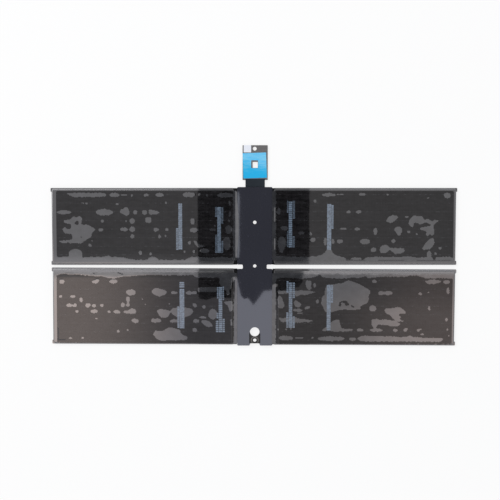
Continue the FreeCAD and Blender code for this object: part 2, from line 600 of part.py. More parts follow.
def release_liner(place):
    """A film that stands at its let-go height, pressed down over the wetted area."""
    left, right, lower, upper = sheet_box(place)
    film = raised(rectangle(left, right, lower, upper, liner_radius), liner_z, liner_top)
    if place == "upper_left":
        start = point(right - liner_radius, lower + liner_radius)
        end = point(right - liner_radius, upper - liner_radius)
        bow = Part.Arc(start, point(right + liner_bow, (lower + upper) / 2), end).toShape()
        edge = Part.Face(Part.Wire([bow, Part.makeLine(end, start)]))
        film = film.fuse(raised(edge, liner_z, liner_top)).removeSplitter()
    let_go = [oval_face(place, *oval) for oval in OVALS[place]]
    let_go += [patch_face(place, marks) for marks in PATCHES[place]]
    pressed = raised(wetted_face(place).cut(let_go), liner_z + liner_thickness, clear_top)
    tools = [pressed]
    for curl in WET_CURLS.get(place, []):
        tools.append(raised(oval_face(place, *curl), liner_z + liner_thickness, clear_top))
    return skewed(film.cut(tools), PLACES[place][1])


def column_corners(inset, notched=True):
    """Plan of the centre column, drawn in by an inset, with its neck between the rows."""
    wide = column_width / 2 - inset
    neck = neck_width / 2 - inset
    neck_top = middle_y + neck_length / 2 + inset
    neck_low = middle_y - neck_length / 2 - inset
    top = column_top - inset
    foot = column_foot + inset
    notch = notch_width / 2 + inset
    right = [(wide, top), (wide, neck_top), (neck, neck_top), (neck, neck_low), (wide, neck_low),
             (wide, foot)]
    if notched:
        right += [(notch, foot), (notch, foot + notch_depth)]
    left = [(-x, y) for x, y in reversed(right)]
    return [point(x, y) for x, y in right + left]


def front_film():
    """Glossy film over the column, with the screw holes and the cut round the lower end."""
    film = raised(rounded_face(column_corners(0), column_radius), frame_top, frame_top + film_thickness)
    cut = rectangle(-film_cut_width / 2, film_cut_width / 2, column_foot + notch_depth,
                    locating_y - screw_radius / 2, column_radius)
    tools = [
        rod(0, upper_screw_y, screw_radius, 0, clear_top),
        rod(0, middle_screw_y, screw_radius, 0, clear_top),
        rod(0, locating_y, locating_radius, 0, clear_top),
        raised(cut, frame_top - 1, clear_top),
    ]
    return film.cut(tools)


def back_film():
    film = raised(rounded_face(column_corners(film_overhang), column_radius), back_film_z, frame_z)
    holes = [post(0, y, screw_radius + back_film_relief, 0, frame_z)
             for y in (upper_screw_y, middle_screw_y, lower_screw_y)]
    holes.append(post(0, locating_y, locating_radius + back_film_relief, 0, frame_z))
    return film.cut(holes)


def stake_places():
    """Two heat stakes near the tail, clear of the flexible strip, and two at the foot."""
    reach = column_width / 2 - film_overhang - frame_wall - board_clearance - stake_inset
    top = column_top - film_overhang - frame_wall - board_clearance - stake_inset
    foot = board_end_y + stake_inset
    return [(-reach, top), (reach, top), (-foot_stake_x, foot), (foot_stake_x, foot)]


def centre_frame():
    """Moulded tray: floor, wall, screw bosses, locating hole, rimmed screw hole and heat stakes."""
    wall_inset = film_overhang + frame_wall
    frame = raised(rounded_face(column_corners(film_overhang), column_radius), frame_z, frame_top)
    tray = raised(rounded_face(column_corners(wall_inset, False), column_radius), board_z, clear_top)
    lower_block = block(-column_width, column_width, column_foot, board_end_y - board_clearance,
                        0, clear_top)
    frame = frame.cut(tray.cut(lower_block))
    additions = [post(0, y, boss_radius, frame_z, frame_top) for y in (upper_screw_y, middle_screw_y)]
    for x, y in stake_places():
        additions.append(post(x, y, stake_radius, frame_z, board_top + stake_head_height))
        additions.append(post(x, y, stake_head_radius, board_top, board_top + stake_head_height))
    frame = frame.fuse(additions)
    cuts = [rod(0, y, screw_radius, 0, clear_top)
            for y in (upper_screw_y, middle_screw_y, lower_screw_y)]
    cuts.append(rod(0, locating_y, locating_radius, 0, clear_top))
    cuts.append(Part.makeCone(locating_radius, locating_radius + locating_lead_in, locating_lead_in,
                              point(0, locating_y, frame_top - locating_lead_in)))
    cuts += terrace_windows() + cored_pockets() + [flex_slot(), foot_recess()]
    return frame.cut(cuts).removeSplitter()


def terrace_windows():
    """Gaps in the side walls where the end seams of the cells lie on them."""
    reach = cell_width / 2 - terrace_inset + terrace_clearance
    inner = cell_start - terrace_length - terrace_clearance
    windows = []
    for side, row in PLACES.values():
        near, far = sorted((side * inner - column_x, side * column_width))
        windows.append(block(near, far, row_y(row) - reach, row_y(row) + reach, terrace_z, clear_top))
    return windows


def cored_pockets():
    """Pockets that thin the moulding on each side of the locating hole."""
    outer = column_width / 2 - film_overhang - frame_wall - core_inset
    low = column_foot + film_overhang + frame_wall + core_inset
    high = board_end_y - board_clearance - frame_wall - core_inset
    pockets = []
    for side in (-1, 1):
        near, far = sorted((side * (outer - core_width), side * outer))
        pockets.append(raised(rectangle(near, far, low, high, column_radius), board_z, clear_top))
    return pockets


def flex_slot():
    half = flex_width / 2 + terrace_clearance
    return block(tail_x - half, tail_x + half, column_top - film_overhang - 1.5 * frame_wall, column_top,
                 board_top, board_top + 2 * flex_thickness)


def foot_recess():
    """The sunk floor round the lower screw hole, with its raised rim left standing."""
    half = film_cut_width / 2 - film_overhang
    recess = raised(rectangle(-half, half, column_foot + notch_depth + film_overhang + frame_wall / 2,
                              locating_y, column_radius), frame_top - recess_depth, clear_top)
    rim_top = frame_top - recess_depth + rim_height
    rim = rod(0, lower_screw_y, rim_outer_radius, 0, rim_top)
    bore = rod(0, lower_screw_y, rim_inner_radius, 0, rim_top + 1)
    return recess.cut(rim.cut(bore))


def protection_board():
    """Board in the tray, with its holes for bosses and stakes and its raised weld pads."""
    inset = film_overhang + frame_wall + board_clearance
    board = raised(rounded_face(column_corners(inset, False), column_radius), board_z, board_top)
    cuts = [block(-column_width, column_width, column_foot, board_end_y, 0, frame_top)]
    cuts += [post(0, y, boss_radius + board_clearance / 2, 0, frame_top)
             for y in (upper_screw_y, middle_screw_y)]
    cuts += [post(x, y, stake_radius + stake_clearance, 0, frame_top) for x, y in stake_places()]
    board = board.cut(cuts)
    pads = []
    pad_end = cell_start - terrace_length - 2.5 * tab_bend - tab_bend - tab_thickness
    for side, row in PLACES.values():
        for y in (-tab_spacing / 2, tab_spacing / 2):
            near, far = sorted((side * (pad_end - pad_length), side * pad_end))
            pads.append(block(near, far, row_y(row) + y - pad_width / 2, row_y(row) + y + pad_width / 2,
                              board_top - board_thickness / 2, tab_z))
    return board.fuse(pads).removeSplitter()


def chip(anchor, x, along, length, width, height):
    """A packaged component: a block with its upper edges taken off."""
    y = ANCHORS[anchor] + along
    top = board_top + height
    body = block(x - length / 2, x + length / 2, y - width / 2, y + width / 2, board_top, top)
    return body.makeChamfer(chip_bevel, [e for e in body.Edges if e.BoundBox.ZMin > top - chip_bevel / 2])


def two_ended(anchor, x, along, length, width, height, cap):
    """A resistor, fuse or capacitor: a body between two slightly larger end caps."""
    y = ANCHORS[anchor] + along
    left = x - length / 2
    right = x + length / 2
    low = y - width / 2
    high = y + width / 2
    top = board_top + height
    body = block(left + cap / 2, right - cap / 2, low + cap_step, high - cap_step, board_top, top - cap_step)
    ends = [block(left, left + cap, low, high, board_top, top),
            block(right - cap, right, low, high, board_top, top)]
    return body.fuse(ends).removeSplitter()


def tail_flex():
    """Flexible strip that carries the tail."""
    low = column_top - film_overhang - frame_wall - board_clearance - flex_on_board
    strip = rectangle(tail_x - flex_width / 2, tail_x + flex_width / 2, low, tail_start + flex_on_tail,
                      tail_radius)
    return raised(strip, board_top, board_top + flex_thickness)


def opening_box(left=0.0, right=0.0, top=0.0, low=0.0):
    """The opening through the tail board, widened by the given margins."""
    middle = tail_x + opening_shift
    upper = tail_end - opening_from_end
    return rectangle(middle - opening_width / 2 - left, middle + opening_width / 2 + right,
                     upper - opening_length - low, upper + top, tail_radius)


def tail_board():
    board = raised(rectangle(tail_x - tail_width / 2, tail_x + tail_width / 2, tail_start, tail_end,
                             tail_radius), board_z, board_top)
    return board.cut([rod(0, tail_end - tail_hole_inset, tail_screw_radius, 0, frame_top),
                      raised(opening_box(), 0, frame_top)])


def protective_tape():
    """Blue tape, a little askew on the tail board, with its window round the opening."""
    middle = tail_x + tape_shift
    high = tail_end - tape_from_end
    tape = rectangle(middle - tape_width / 2, middle + tape_width / 2, high - tape_length, high,
                     tape_window_margin)
    tape.rotate(point(middle, high - tape_length / 2), point(0, 0, 1), tape_turn)
    window = opening_box(tape_window_left, tape_window_margin, tape_window_top, tape_window_margin)
    return raised(tape.cut(window), board_top, board_top + tape_thickness)


def tail_label():
    left = tail_x - tail_width / 2 + label_inset
    face = rectangle(left, left + label_width, tail_end - label_length, tail_end, tape_window_margin)
    return raised(face, board_top, board_top + label_thickness)


def connector_y():
    return tail_end - connector_from_end - connector_width / 2


def tail_connector():
    """Low socket under the tail board, open downwards."""
    half_x = connector_length / 2
    half_y = connector_width / 2
    middle = connector_y()
    shell = raised(rectangle(tail_x - half_x, tail_x + half_x, middle - half_y, middle + half_y,
                             tail_radius), back_film_z, board_z)
    trough = raised(rectangle(tail_x - half_x + connector_wall, tail_x + half_x - connector_wall,
                              middle - half_y + connector_wall, middle + half_y - connector_wall,
                              tail_radius / 2), back_film_z, back_film_z + connector_depth)
    return shell.cut(trough)


def connector_contact(index):
    """A leaf contact across the socket, with a bent end that lies against its wall."""
    x = tail_x + (index - (contact_count - 1) / 2) * contact_pitch
    reach = connector_width / 2 - connector_wall
    top = back_film_z + connector_depth
    leaf = block(x - contact_width / 2, x + contact_width / 2, connector_y() - reach,
                 connector_y() + reach, top - contact_thickness, top)
    bend = block(x - contact_width / 2, x + contact_width / 2, connector_y() + reach - contact_thickness,
                 connector_y() + reach, back_film_z + contact_thickness, top)
    return leaf.fuse(bend).removeSplitter()


def build():
    tabs = {"positive": cell_tab(tab_spacing / 2), "negative": cell_tab(-tab_spacing / 2)}
    for place, (side, row) in PLACES.items():
        save(f"cell_{place}", in_place(pouch_cell(side), side, row))
        for pole, tab in tabs.items():
            save(f"tab_{place}_{pole}", in_place(tab, side, row))
        save(f"adhesive_{place}", adhesive_sheet(place))
        save(f"release_liner_{place}", release_liner(place))
    save("front_film", front_film(), column_x)
    save("back_film", back_film(), column_x)
    save("centre_frame", centre_frame(), column_x)
    save("protection_board", protection_board(), column_x)
    for name, sizes in CHIPS.items():
        save(name, chip(*sizes), column_x)
    for name, sizes in TWO_ENDED.items():
        save(name, two_ended(*sizes), column_x)
    save("tail_flex", tail_flex(), column_x)
    save("tail_board", tail_board(), column_x)
    save("protective_tape", protective_tape(), column_x)
    save("tail_label", tail_label(), column_x)
    save("tail_connector", tail_connector(), column_x)
    for index in range(contact_count):
        save(f"connector_contact_{index + 1}", connector_contact(index), column_x)


os.makedirs("parts", exist_ok=True)
build()
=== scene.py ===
import bmesh
import bpy
import json
import math
import numpy as np
from bpy.props import FloatProperty, FloatVectorProperty, IntProperty, PointerProperty
from mathutils import Matrix, Vector, noise
from mathutils.bvhtree import BVHTree

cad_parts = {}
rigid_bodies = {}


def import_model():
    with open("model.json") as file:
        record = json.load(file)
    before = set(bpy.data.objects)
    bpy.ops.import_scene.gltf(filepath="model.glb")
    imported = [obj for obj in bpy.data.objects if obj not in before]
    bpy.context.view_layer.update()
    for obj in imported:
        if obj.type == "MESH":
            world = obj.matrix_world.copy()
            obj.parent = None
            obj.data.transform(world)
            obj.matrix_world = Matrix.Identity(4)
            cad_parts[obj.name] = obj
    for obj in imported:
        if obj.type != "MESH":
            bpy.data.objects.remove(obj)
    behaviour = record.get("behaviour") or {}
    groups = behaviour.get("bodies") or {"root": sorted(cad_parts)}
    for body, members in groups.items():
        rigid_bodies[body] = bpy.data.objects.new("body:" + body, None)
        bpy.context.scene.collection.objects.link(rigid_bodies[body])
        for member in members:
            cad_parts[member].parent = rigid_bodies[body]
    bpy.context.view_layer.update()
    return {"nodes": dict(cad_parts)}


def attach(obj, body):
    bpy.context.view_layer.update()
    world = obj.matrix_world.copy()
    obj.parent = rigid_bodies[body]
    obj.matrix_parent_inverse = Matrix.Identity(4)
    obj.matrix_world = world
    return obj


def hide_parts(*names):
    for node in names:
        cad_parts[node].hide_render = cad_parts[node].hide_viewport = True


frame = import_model()

bl_info = {
    "name": "Laptop battery pack",
    "version": (1, 0),
    "blender": (4, 5, 0),
    "location": "3D View > Sidebar > Battery",
    "description": "Dresses the modelled laptop battery pack and lights it",
    "category": "Object",
}

MM = 0.001

# The image is square and shows this many millimetres a pixel, with the pack's origin at this pixel
IMAGE_SIZE = 500
MM_PER_PIXEL = 0.685
ORIGIN_PIXEL = (253.9, 245.8)

# The places of the four cells, the turn of the lower ones, and the point they turn about
PLACES = ("upper_left", "upper_right", "lower_left", "lower_right")
LOWER_TURN = math.radians(-0.28)
LOWER_CENTRE = (0.0, -42.0)

# Heights of the liner, and how far inside its ends its relief is read, in millimetres
LINER_UNDERSIDE = 3.35
WETTED_TOP = 3.45
LET_GO_TOP = 3.456
SHEET_MARGIN = 0.05

# Beside the column a liner dips off the end of the adhesive and rises again towards its edge. In
# millimetres from the middle of the pack: where the dip starts, where it turns, where the rise
# ends, and the dip's depth. RISE is the rise's slope. The stretches where the edge rises are in
# pixels, as their upper and lower end. The adhesive ends short of a deep dip.
DIPS = {
    "upper_left": (14.6, 13.05, 0.0, 0.17), "upper_right": (15.7, 14.9, 13.7, 0.09),
    "lower_left": (14.9, 13.4, 0.0, 0.17), "lower_right": (16.6, 15.0, 0.0, 0.18),
}
RISE = 0.08
ADHESIVE_ENDS = {"upper_left": 13.9, "lower_left": 14.3, "lower_right": 16.0}
RISING = {
    "upper_left": ((189.0, 258.0),),
    "upper_right": ((207.0, 222.0), (238.0, 250.0)),
    "lower_left": ((279.0, 346.0),),
    "lower_right": ((285.5, 346.0),),
}

# The finishes of a liner's faces. The curled one is a lighter copy of the let-go one, a painted
# highlight. A risen edge has the curled one, or the one named for its place.
LINER_FINISHES = ("liner_stuck_down", "liner_let_go", "liner_curled", "liner_crease")
EDGE_FINISHES = {"upper_right": "liner_let_go"}

# Small marks on the liners under the finish that they give: both ends and half the width in pixels.
# The crease marks are dark lines of painted shade along creases and liner edges.
MARKS = {
    "upper_left": {
        "liner_let_go": (
            (82.0, 203.1, 84.4, 203.2, 0.45), (122.0, 195.1, 127.0, 195.1, 0.45),
            (126.2, 220.9, 126.3, 221.2, 0.8), (166.1, 202.4, 166.2, 203.2, 0.9),
            (165.4, 235.6, 165.6, 236.4, 0.8), (92.0, 240.8, 92.6, 241.2, 0.6),
            (229.6, 201.8, 229.8, 204.8, 0.9), (230.1, 212.4, 229.8, 215.8, 1.0),
            (229.2, 220.3, 229.3, 221.2, 1.0), (210.6, 229.7, 215.0, 229.5, 1.2),
            (214.8, 225.4, 214.9, 226.4, 0.8), (207.2, 195.2, 207.4, 196.0, 0.9),
        ),
        "liner_stuck_down": (
            (66.8, 225.4, 66.8, 228.2, 0.5), (69.3, 225.4, 69.3, 228.0, 0.5),
            (81.1, 236.8, 81.4, 237.2, 0.6), (68.0, 242.3, 68.4, 242.5, 0.6),
        ),
    },
    "upper_right": {
        "liner_let_go": (
            (337.0, 194.6, 343.5, 194.7, 0.5), (386.8, 194.5, 387.4, 194.8, 0.7),
            (427.0, 198.2, 427.8, 197.8, 0.7), (416.5, 233.6, 416.7, 234.2, 0.8),
        ),
        "liner_crease": (
            (346.0, 260.2, 365.0, 260.3, 0.5), (378.8, 260.5, 404.0, 260.5, 0.5),
            (417.0, 260.6, 452.0, 260.8, 0.5),
        ),
    },
    "lower_left": {
        "liner_let_go": (
            (200.0, 289.9, 215.0, 289.6, 2.3), (231.0, 320.6, 231.3, 325.4, 0.9),
            (144.8, 304.6, 145.2, 304.8, 0.6), (168.8, 304.1, 169.3, 304.3, 0.7),
            (142.0, 299.4, 142.1, 299.9, 0.6), (94.8, 319.0, 96.4, 319.2, 0.5),
        ),
        "liner_crease": (
            (57.2, 328.0, 57.3, 340.2, 0.45), (57.3, 340.3, 64.0, 340.5, 0.5),
            (92.8, 273.4, 94.6, 274.0, 0.5), (117.6, 273.0, 122.4, 274.2, 0.6),
        ),
    },
    "lower_right": {
        "liner_let_go": (
            (278.1, 329.9, 278.5, 330.0, 0.9), (286.2, 329.9, 286.6, 330.0, 0.9),
            (291.0, 329.5, 291.5, 329.4, 0.8), (296.0, 338.6, 302.8, 338.6, 0.6),
            (312.6, 338.6, 313.4, 338.6, 0.8), (297.8, 313.7, 302.6, 313.5, 0.6),
            (428.6, 292.7, 429.4, 292.7, 0.6), (448.3, 329.8, 448.4, 330.4, 0.8),
            (450.0, 336.1, 450.2, 336.6, 0.7), (421.0, 329.8, 422.4, 330.0, 0.5),
        ),
        "liner_stuck_down": (
            (362.2, 307.8, 368.4, 303.4, 0.6), (400.6, 314.7, 405.2, 314.4, 0.5),
        ),
    },
}

# Printed strips seen through the liners: left, right, upper and lower edge in pixels, and the style
PRINT_STRIPS = {
    "upper_left": (
        (178.5, 182.3, 202.5, 249.5, "solid"), (176.1, 178.4, 227.0, 250.0, "core"),
        (217.3, 221.0, 206.3, 253.0, "core"), (215.2, 217.0, 206.5, 217.0, "faint"),
        (221.3, 223.4, 206.5, 223.5, "faint"), (215.2, 217.0, 234.0, 253.0, "faint"),
        (221.3, 223.2, 240.0, 253.0, "faint"),
    ),
    "upper_right": (
        (288.6, 292.1, 200.3, 247.5, "core"), (286.9, 288.3, 200.6, 213.0, "faint"),
        (292.4, 294.8, 200.6, 219.0, "faint"), (286.9, 288.3, 230.0, 247.0, "faint"),
        (292.4, 294.8, 235.5, 247.5, "faint"), (326.9, 331.2, 203.5, 250.0, "solid"),
        (331.3, 333.4, 203.5, 229.0, "core"),
    ),
    "lower_left": (
        (179.3, 184.1, 288.0, 329.0, "solid"), (179.2, 184.2, 280.3, 287.9, "ladder"),
        (177.0, 179.1, 306.0, 328.5, "core"),
        (218.5, 222.2, 286.0, 333.0, "core"), (216.9, 218.2, 286.0, 299.0, "ladder"),
        (222.5, 223.9, 286.0, 300.5, "ladder"), (216.4, 218.2, 312.0, 319.0, "ladder"),
        (215.6, 218.2, 319.5, 333.0, "ladder"), (222.5, 224.6, 317.5, 333.0, "ladder"),
    ),
    "lower_right": (
        (288.9, 292.5, 281.2, 328.5, "core"), (286.6, 288.6, 281.0, 293.0, "ladder"),
        (292.8, 295.0, 281.0, 298.5, "ladder"), (286.4, 288.6, 311.0, 328.5, "ladder"),
        (292.8, 295.0, 316.5, 328.5, "ladder"), (327.0, 331.0, 285.0, 331.0, "solid"),
        (331.1, 333.3, 285.0, 303.0, "core"),
    ),
}

# A style is pitch and dash along the strip in millimetres, and how uneven its dashes are
STRIP_STYLES = {
    "solid": (1.37, 1.30, 0.04), "core": (1.37, 1.16, 0.05), "ladder": (1.37, 1.08, 0.08),
    "faint": (0.70, 0.33, 0.10),
}
INK_THICKNESS = 0.006

# How far from the middle of the pack the folds take a less reflective copy of the skin, painted shade, in
# millimetres
SHADED_FOLDS = 38.0

# Outline of the dark card that the gloss shows over the middle of the pack, in pixels
DARK_CARD = (
    (198.0, 158.5), (246.0, 161.5), (262.0, 167.5), (309.0, 170.0), (309.0, 262.0), (303.5, 268.0),
    (302.5, 282.0), (299.0, 286.5), (288.0, 289.5), (271.9, 290.0), (263.8, 291.0), (259.0, 297.5),
    (253.1, 305.0), (250.0, 301.0), (247.8, 298.0), (244.4, 299.0), (241.2, 295.5), (239.8, 290.0),
    (238.2, 283.0), (236.8, 277.0), (234.6, 277.0), (234.6, 298.0), (217.0, 297.0), (206.0, 299.5),
    (198.5, 298.0), (198.0, 270.0),
)

# Slivers of light inside the dark card, each as its brightness and its outline in pixels
SLIVERS = {
    "column_sliver": (1.1, (
        (237.0, 192.0), (238.4, 192.0), (239.6, 198.0), (239.6, 250.0), (238.8, 257.5), (237.0, 257.5))),
    "fold_sliver_left": (1.9, (
        (198.5, 270.9), (222.0, 271.0), (228.0, 271.5), (222.0, 271.8), (198.5, 271.7))),
    "fold_sliver_right": (0.4, ((292.0, 271.3), (303.5, 270.6), (303.5, 272.2), (292.0, 272.1))),
}

# Outline of the card beyond the tail that darkens the upper folds beside the column
FAR_CARD = ((198.0, 95.0), (198.0, -1200.0), (309.0, -1200.0), (309.0, 95.0))

# Middle and radii of the bare ring round the lowest screw hole, how soft its edges are, and how far
# above its middle the darker foot ends, in millimetres
LOWER_RING = (0.6, -65.45, 2.05, 2.75)
RING_EDGE = 0.1
DARK_FOOT = 8.0

# Pitches of the liner's weave along X and Y, and pitch and place of the adhesive's channels, in
# millimetres
WEAVE = (1.05, 0.98)
CHANNELS = (5.9, 0.3)

# Where the finishes change, in millimetres. Up a pouch: its drawn wall, which is dull, and its foot,
# below which it is darker as painted shade. Away from the middle of the pack: where the drawn wall
# turns paler, a painted highlight. Along Y: the lower row's upper fold, where that painted highlight
# is palest, the wrinkled end of the tape, which carries a painted reflection, and the black end of
# the tail board.
DRAWN_WALL = (2.1, 2.5, 3.08, 3.18)
POUCH_FOOT_SHADE = (1.9, 2.3)
HIGHLIGHT_FOLDS = (36.5, 39.0)
LOWER_FOLD_HIGHLIGHT = (-31.0, -30.0, -14.0, -13.4)
WRINKLES_AND_REFLECTION = (48.0, 56.0)
BLACK_END = (42.7, 43.3)

# The camera's distance from the pack and its lean from straight above, and the heights of the
# bright panel, the dark cards and the slivers
CAMERA_DISTANCE = 0.6
CAMERA_LEAN = math.radians(3.4)
PANEL_HEIGHT = 0.37
CARD_HEIGHT = 0.35
SLIVER_HEIGHT = 0.349
SENSOR_MM = 36.0

# How far the floor lies under the pack and how much it glows, the lamp's place and size in metres,
# and how far the panel reaches from the middle of the pack in millimetres
FLOOR_DROP = 0.00002
FLOOR_GLOW = 0.8
LAMP_PLACE = (-0.9, 0.7, 1.3)
LAMP_SIZE = (1.2, 0.8)
PANEL_REACH = (190, 110)

# Points closer than MERGED are one, and faces that turn less than FLAT_DEGREES are joined. A face is
# level when its normal's Z is over LEVEL, and upright under UPRIGHT. Edges are smooth under an angle
# for pieces, one for pouches and one for liners, and bevels start at the last one.
MERGED = 0.002 * MM
FLAT_DEGREES = 0.5
LEVEL = 0.9999
UPRIGHT = 0.2
PIECE_DEGREES = 35.0
POUCH_DEGREES = 30.0
SHARP_DEGREES = 40.0


def from_pixel(px, py):
    """A pixel's place in the model, in millimetres."""
    return (px - ORIGIN_PIXEL[0]) * MM_PER_PIXEL, (ORIGIN_PIXEL[1] - py) * MM_PER_PIXEL


# Node trees

class Tree:
    """A node tree under construction, with short calls for the nodes that it uses."""

    def __init__(self, tree):
        self.tree = tree

    def feed(self, socket, value):
        """Links an input to an output, or sets it to a value."""
        if isinstance(value, bpy.types.NodeSocket):
            self.tree.links.new(value, socket)
        elif socket.type == "RGBA":
            socket.default_value = (*value, 1.0)
        else:
            socket.default_value = value

    def node(self, kind, inputs=(), **options):
        """A new node with its options, and its inputs fed by name or number."""
        made = self.tree.nodes.new(kind)
        for key, value in options.items():
            setattr(made, key, value)
        for key, value in dict(inputs).items():
            self.feed(made.inputs[key], value)
        return made

    def math(self, operation, *values):
        return self.node("ShaderNodeMath", enumerate(values), operation=operation).outputs[0]

    def times(self, first, second):
        return self.math("MULTIPLY", first, second)

    def vector(self, **axes):
        return self.node("ShaderNodeCombineXYZ", axes).outputs[0]

    def parts(self, vector):
        return self.node("ShaderNodeSeparateXYZ", {0: vector}).outputs

    def ramp(self, value, low, high, out_low=0.0, out_high=1.0, smooth=True):
        """Goes from out_low at low to out_high at high, and stays there."""
        return self.node("ShaderNodeMapRange", {
            "Value": value, "From Min": low, "From Max": high, "To Min": out_low, "To Max": out_high,
        }, interpolation_type="SMOOTHSTEP" if smooth else "LINEAR").outputs["Result"]

    def mix(self, factor, first, second):
        """From the first colour at 0 to the second at 1."""
        return self.node("ShaderNodeMix", {0: factor, 6: first, 7: second}, data_type="RGBA").outputs[2]


# Materials

class Finish(Tree):
    """The node material of a finish, on the pack's own coordinates."""

    def __init__(self, name, base, roughness, ior=1.5, metallic=0.0):
        self.material = bpy.data.materials.new(name)
        self.material.use_nodes = True
        super().__init__(self.material.node_tree)
        self.shader = self.tree.nodes["Principled BSDF"]
        self.shader.inputs["Base Color"].default_value = (*base, 1.0)
        self.shader.inputs["Roughness"].default_value = roughness
        self.shader.inputs["IOR"].default_value = ior
        self.shader.inputs["Metallic"].default_value = metallic
        self.coordinates = self.node("ShaderNodeTexCoord").outputs["Object"]
        self.last_normal = None

    def axis(self, name):
        return self.parts(self.coordinates)[name]

    def noise(self, size_mm, detail=2.0, stretch=(1.0, 1.0, 1.0)):
        """Noise with features of about this size, longer along an axis by the given stretch."""
        scale = tuple(1.0 / s for s in stretch)
        mapping = self.node("ShaderNodeMapping", {"Vector": self.coordinates, "Scale": scale})
        return self.node("ShaderNodeTexNoise", {
            "Vector": mapping.outputs[0], "Scale": 1.0 / (size_mm * MM), "Detail": detail,
        }).outputs["Fac"]

    def lines(self, axis, pitch_mm, width=0.5, shift_mm=0.0):
        """1 on thin lines across an axis and 0 between them."""
        place = self.math("ADD", self.axis(axis), shift_mm * MM)
        wave = self.math("COSINE", self.times(place, 2 * math.pi / (pitch_mm * MM)))
        return self.ramp(wave, math.cos(math.pi * width), 1.0)

    def weave(self, width):
        """The liner's fine weave: thin lines both ways."""
        return self.math("MAXIMUM", *(self.lines(axis, pitch, width) for axis, pitch in zip("XY", WEAVE)))

    def rise(self, value, stretch):
        """From 0 at the start of a stretch to 1 at its end, in millimetres."""
        return self.ramp(value, stretch[0] * MM, stretch[1] * MM)

    def band(self, value, start, full, fade, end):
        """1 from full to fade and 0 before start and past end, all in millimetres."""
        return self.times(self.rise(value, (start, full)),
                          self.ramp(value, fade * MM, end * MM, 1.0, 0.0))

    def colour(self, value):
        self.feed(self.shader.inputs["Base Color"], value)

    def roughness(self, value):
        self.feed(self.shader.inputs["Roughness"], value)

    def bump(self, value, height_mm, strength=1.0):
        inputs = {"Height": value, "Distance": height_mm * MM, "Strength": strength}
        if self.last_normal is not None:
            inputs["Normal"] = self.last_normal
        self.last_normal = self.node("ShaderNodeBump", inputs).outputs["Normal"]
        self.feed(self.shader.inputs["Normal"], self.last_normal)


def shade(colour, factor):
    return tuple(c * factor for c in colour)


def wetted_film(name, black):
    """Clear liner stuck down on black adhesive, with its fine weave and the channels across it."""
    f = Finish(name, black, 0.03)
    pitch, place = CHANNELS
    channel = f.lines("Y", pitch, 0.045, place)
    beads = f.times(f.lines("Y", pitch, 0.13, place), f.ramp(f.noise(1.7, 1.0), 0.57, 0.66))
    cloud = f.math("ADD", f.times(f.noise(14.0, 3.0, (2.5, 1.0, 1.0)), 0.4),
                   f.times(f.noise(1.9, 3.0, (2.2, 1.0, 1.0)), 0.6))
    tone = f.mix(f.ramp(cloud, 0.36, 0.64, smooth=False), shade(black, 0.35), shade(black, 1.85))
    tone = f.mix(f.times(f.weave(0.34), 0.55), tone, shade(black, 2.4))
    tone = f.mix(f.times(channel, 0.5), tone, shade(black, 3.2))
    f.colour(f.mix(f.times(beads, 0.8), tone, tuple(settings().let_go_colour)))
    f.roughness(f.ramp(f.noise(4.0), 0.3, 0.7, 0.02, 0.035))
    f.bump(f.noise(9.0, 1.0), 0.012, 0.5)


def let_go_film(name, base, lightness):
    """The same liner where air lies under it: lighter and more reflective."""
    # A lightness over 1 makes a lighter copy: a painted highlight.
    grey = shade(base, lightness)
    f = Finish(name, grey, 0.035, 2.05)
    cloud = f.noise(4.0, 4.0, (1.5, 1.0, 1.0))
    tone = f.mix(f.ramp(cloud, 0.3, 0.7, smooth=False), shade(grey, 0.75), shade(grey, 1.25))
    f.colour(f.mix(f.times(f.weave(0.3), 0.15), tone, shade(grey, 0.6)))
    f.roughness(f.ramp(cloud, 0.3, 0.7, 0.025, 0.05))
    f.bump(f.noise(7.0, 1.0), 0.02, 0.5)


def plain_film(name, base, roughness, ior, wave_mm, grain, tint=(1.0, 1.0, 1.0)):
    """Smooth film with a slow waviness and faint scuffs."""
    f = Finish(name, base, roughness, ior)
    f.shader.inputs["Specular Tint"].default_value = (*tint, 1.0)
    cloud = f.noise(18.0, 3.0, (1.0, 2.5, 1.0))
    scuff = f.ramp(f.noise(0.8, 4.0, (1.0, 6.0, 1.0)), 0.66, 0.76)
    tone = f.mix(cloud, shade(base, 1 - grain), shade(base, 1 + grain))
    f.colour(f.mix(f.times(scuff, 0.35), tone, shade(base, 2.0)))
    f.roughness(f.math("ADD", f.ramp(cloud, 0.3, 0.7, roughness * 0.8, roughness * 1.2),
                       f.times(scuff, 0.08)))
    f.bump(f.noise(wave_mm, 1.0, (1.0, 2.0, 1.0)), 0.03, 0.5)


def pouch_film(name, base, ior):
    """Nylon skin of a pouch: glossy on top and dull where it is drawn or folded. Away from the column
    the drawn walls are paler, a painted highlight, palest on the lower row's upper fold; low on its
    walls it is darker, a painted shade."""
    f = Finish(name, base, 0.05, ior)
    height = f.axis("Z")
    drawn = f.band(height, *DRAWN_WALL)
    lower_fold_highlight = f.band(f.axis("Y"), *LOWER_FOLD_HIGHLIGHT)
    away = f.rise(f.math("ABSOLUTE", f.axis("X")), HIGHLIGHT_FOLDS)
    fine = f.noise(0.9, 3.0)
    tone = f.mix(f.noise(18.0, 3.0, (1.0, 2.5, 1.0)), shade(base, 0.82), shade(base, 1.18))
    tone = f.mix(f.times(fine, 0.3), tone, shade(base, 1.5))
    # Painted highlight: the drawn walls away from the column turn paler, palest on the lower row's upper
    # fold.
    pale = f.mix(lower_fold_highlight, shade(base, 2.3), shade(base, 4.2))
    tone = f.mix(f.times(f.times(drawn, away), 0.8), tone, pale)
    # Painted shade: the skin darkens low on the walls of the pouch.
    f.colour(f.mix(f.rise(height, POUCH_FOOT_SHADE), shade(base, 0.25), tone))
    f.roughness(f.math("ADD", f.ramp(fine, 0.3, 0.7, 0.04, 0.07), f.times(drawn, 0.4)))
    f.bump(f.noise(12.0, 1.0, (1.0, 2.0, 1.0)), 0.02, 0.5)


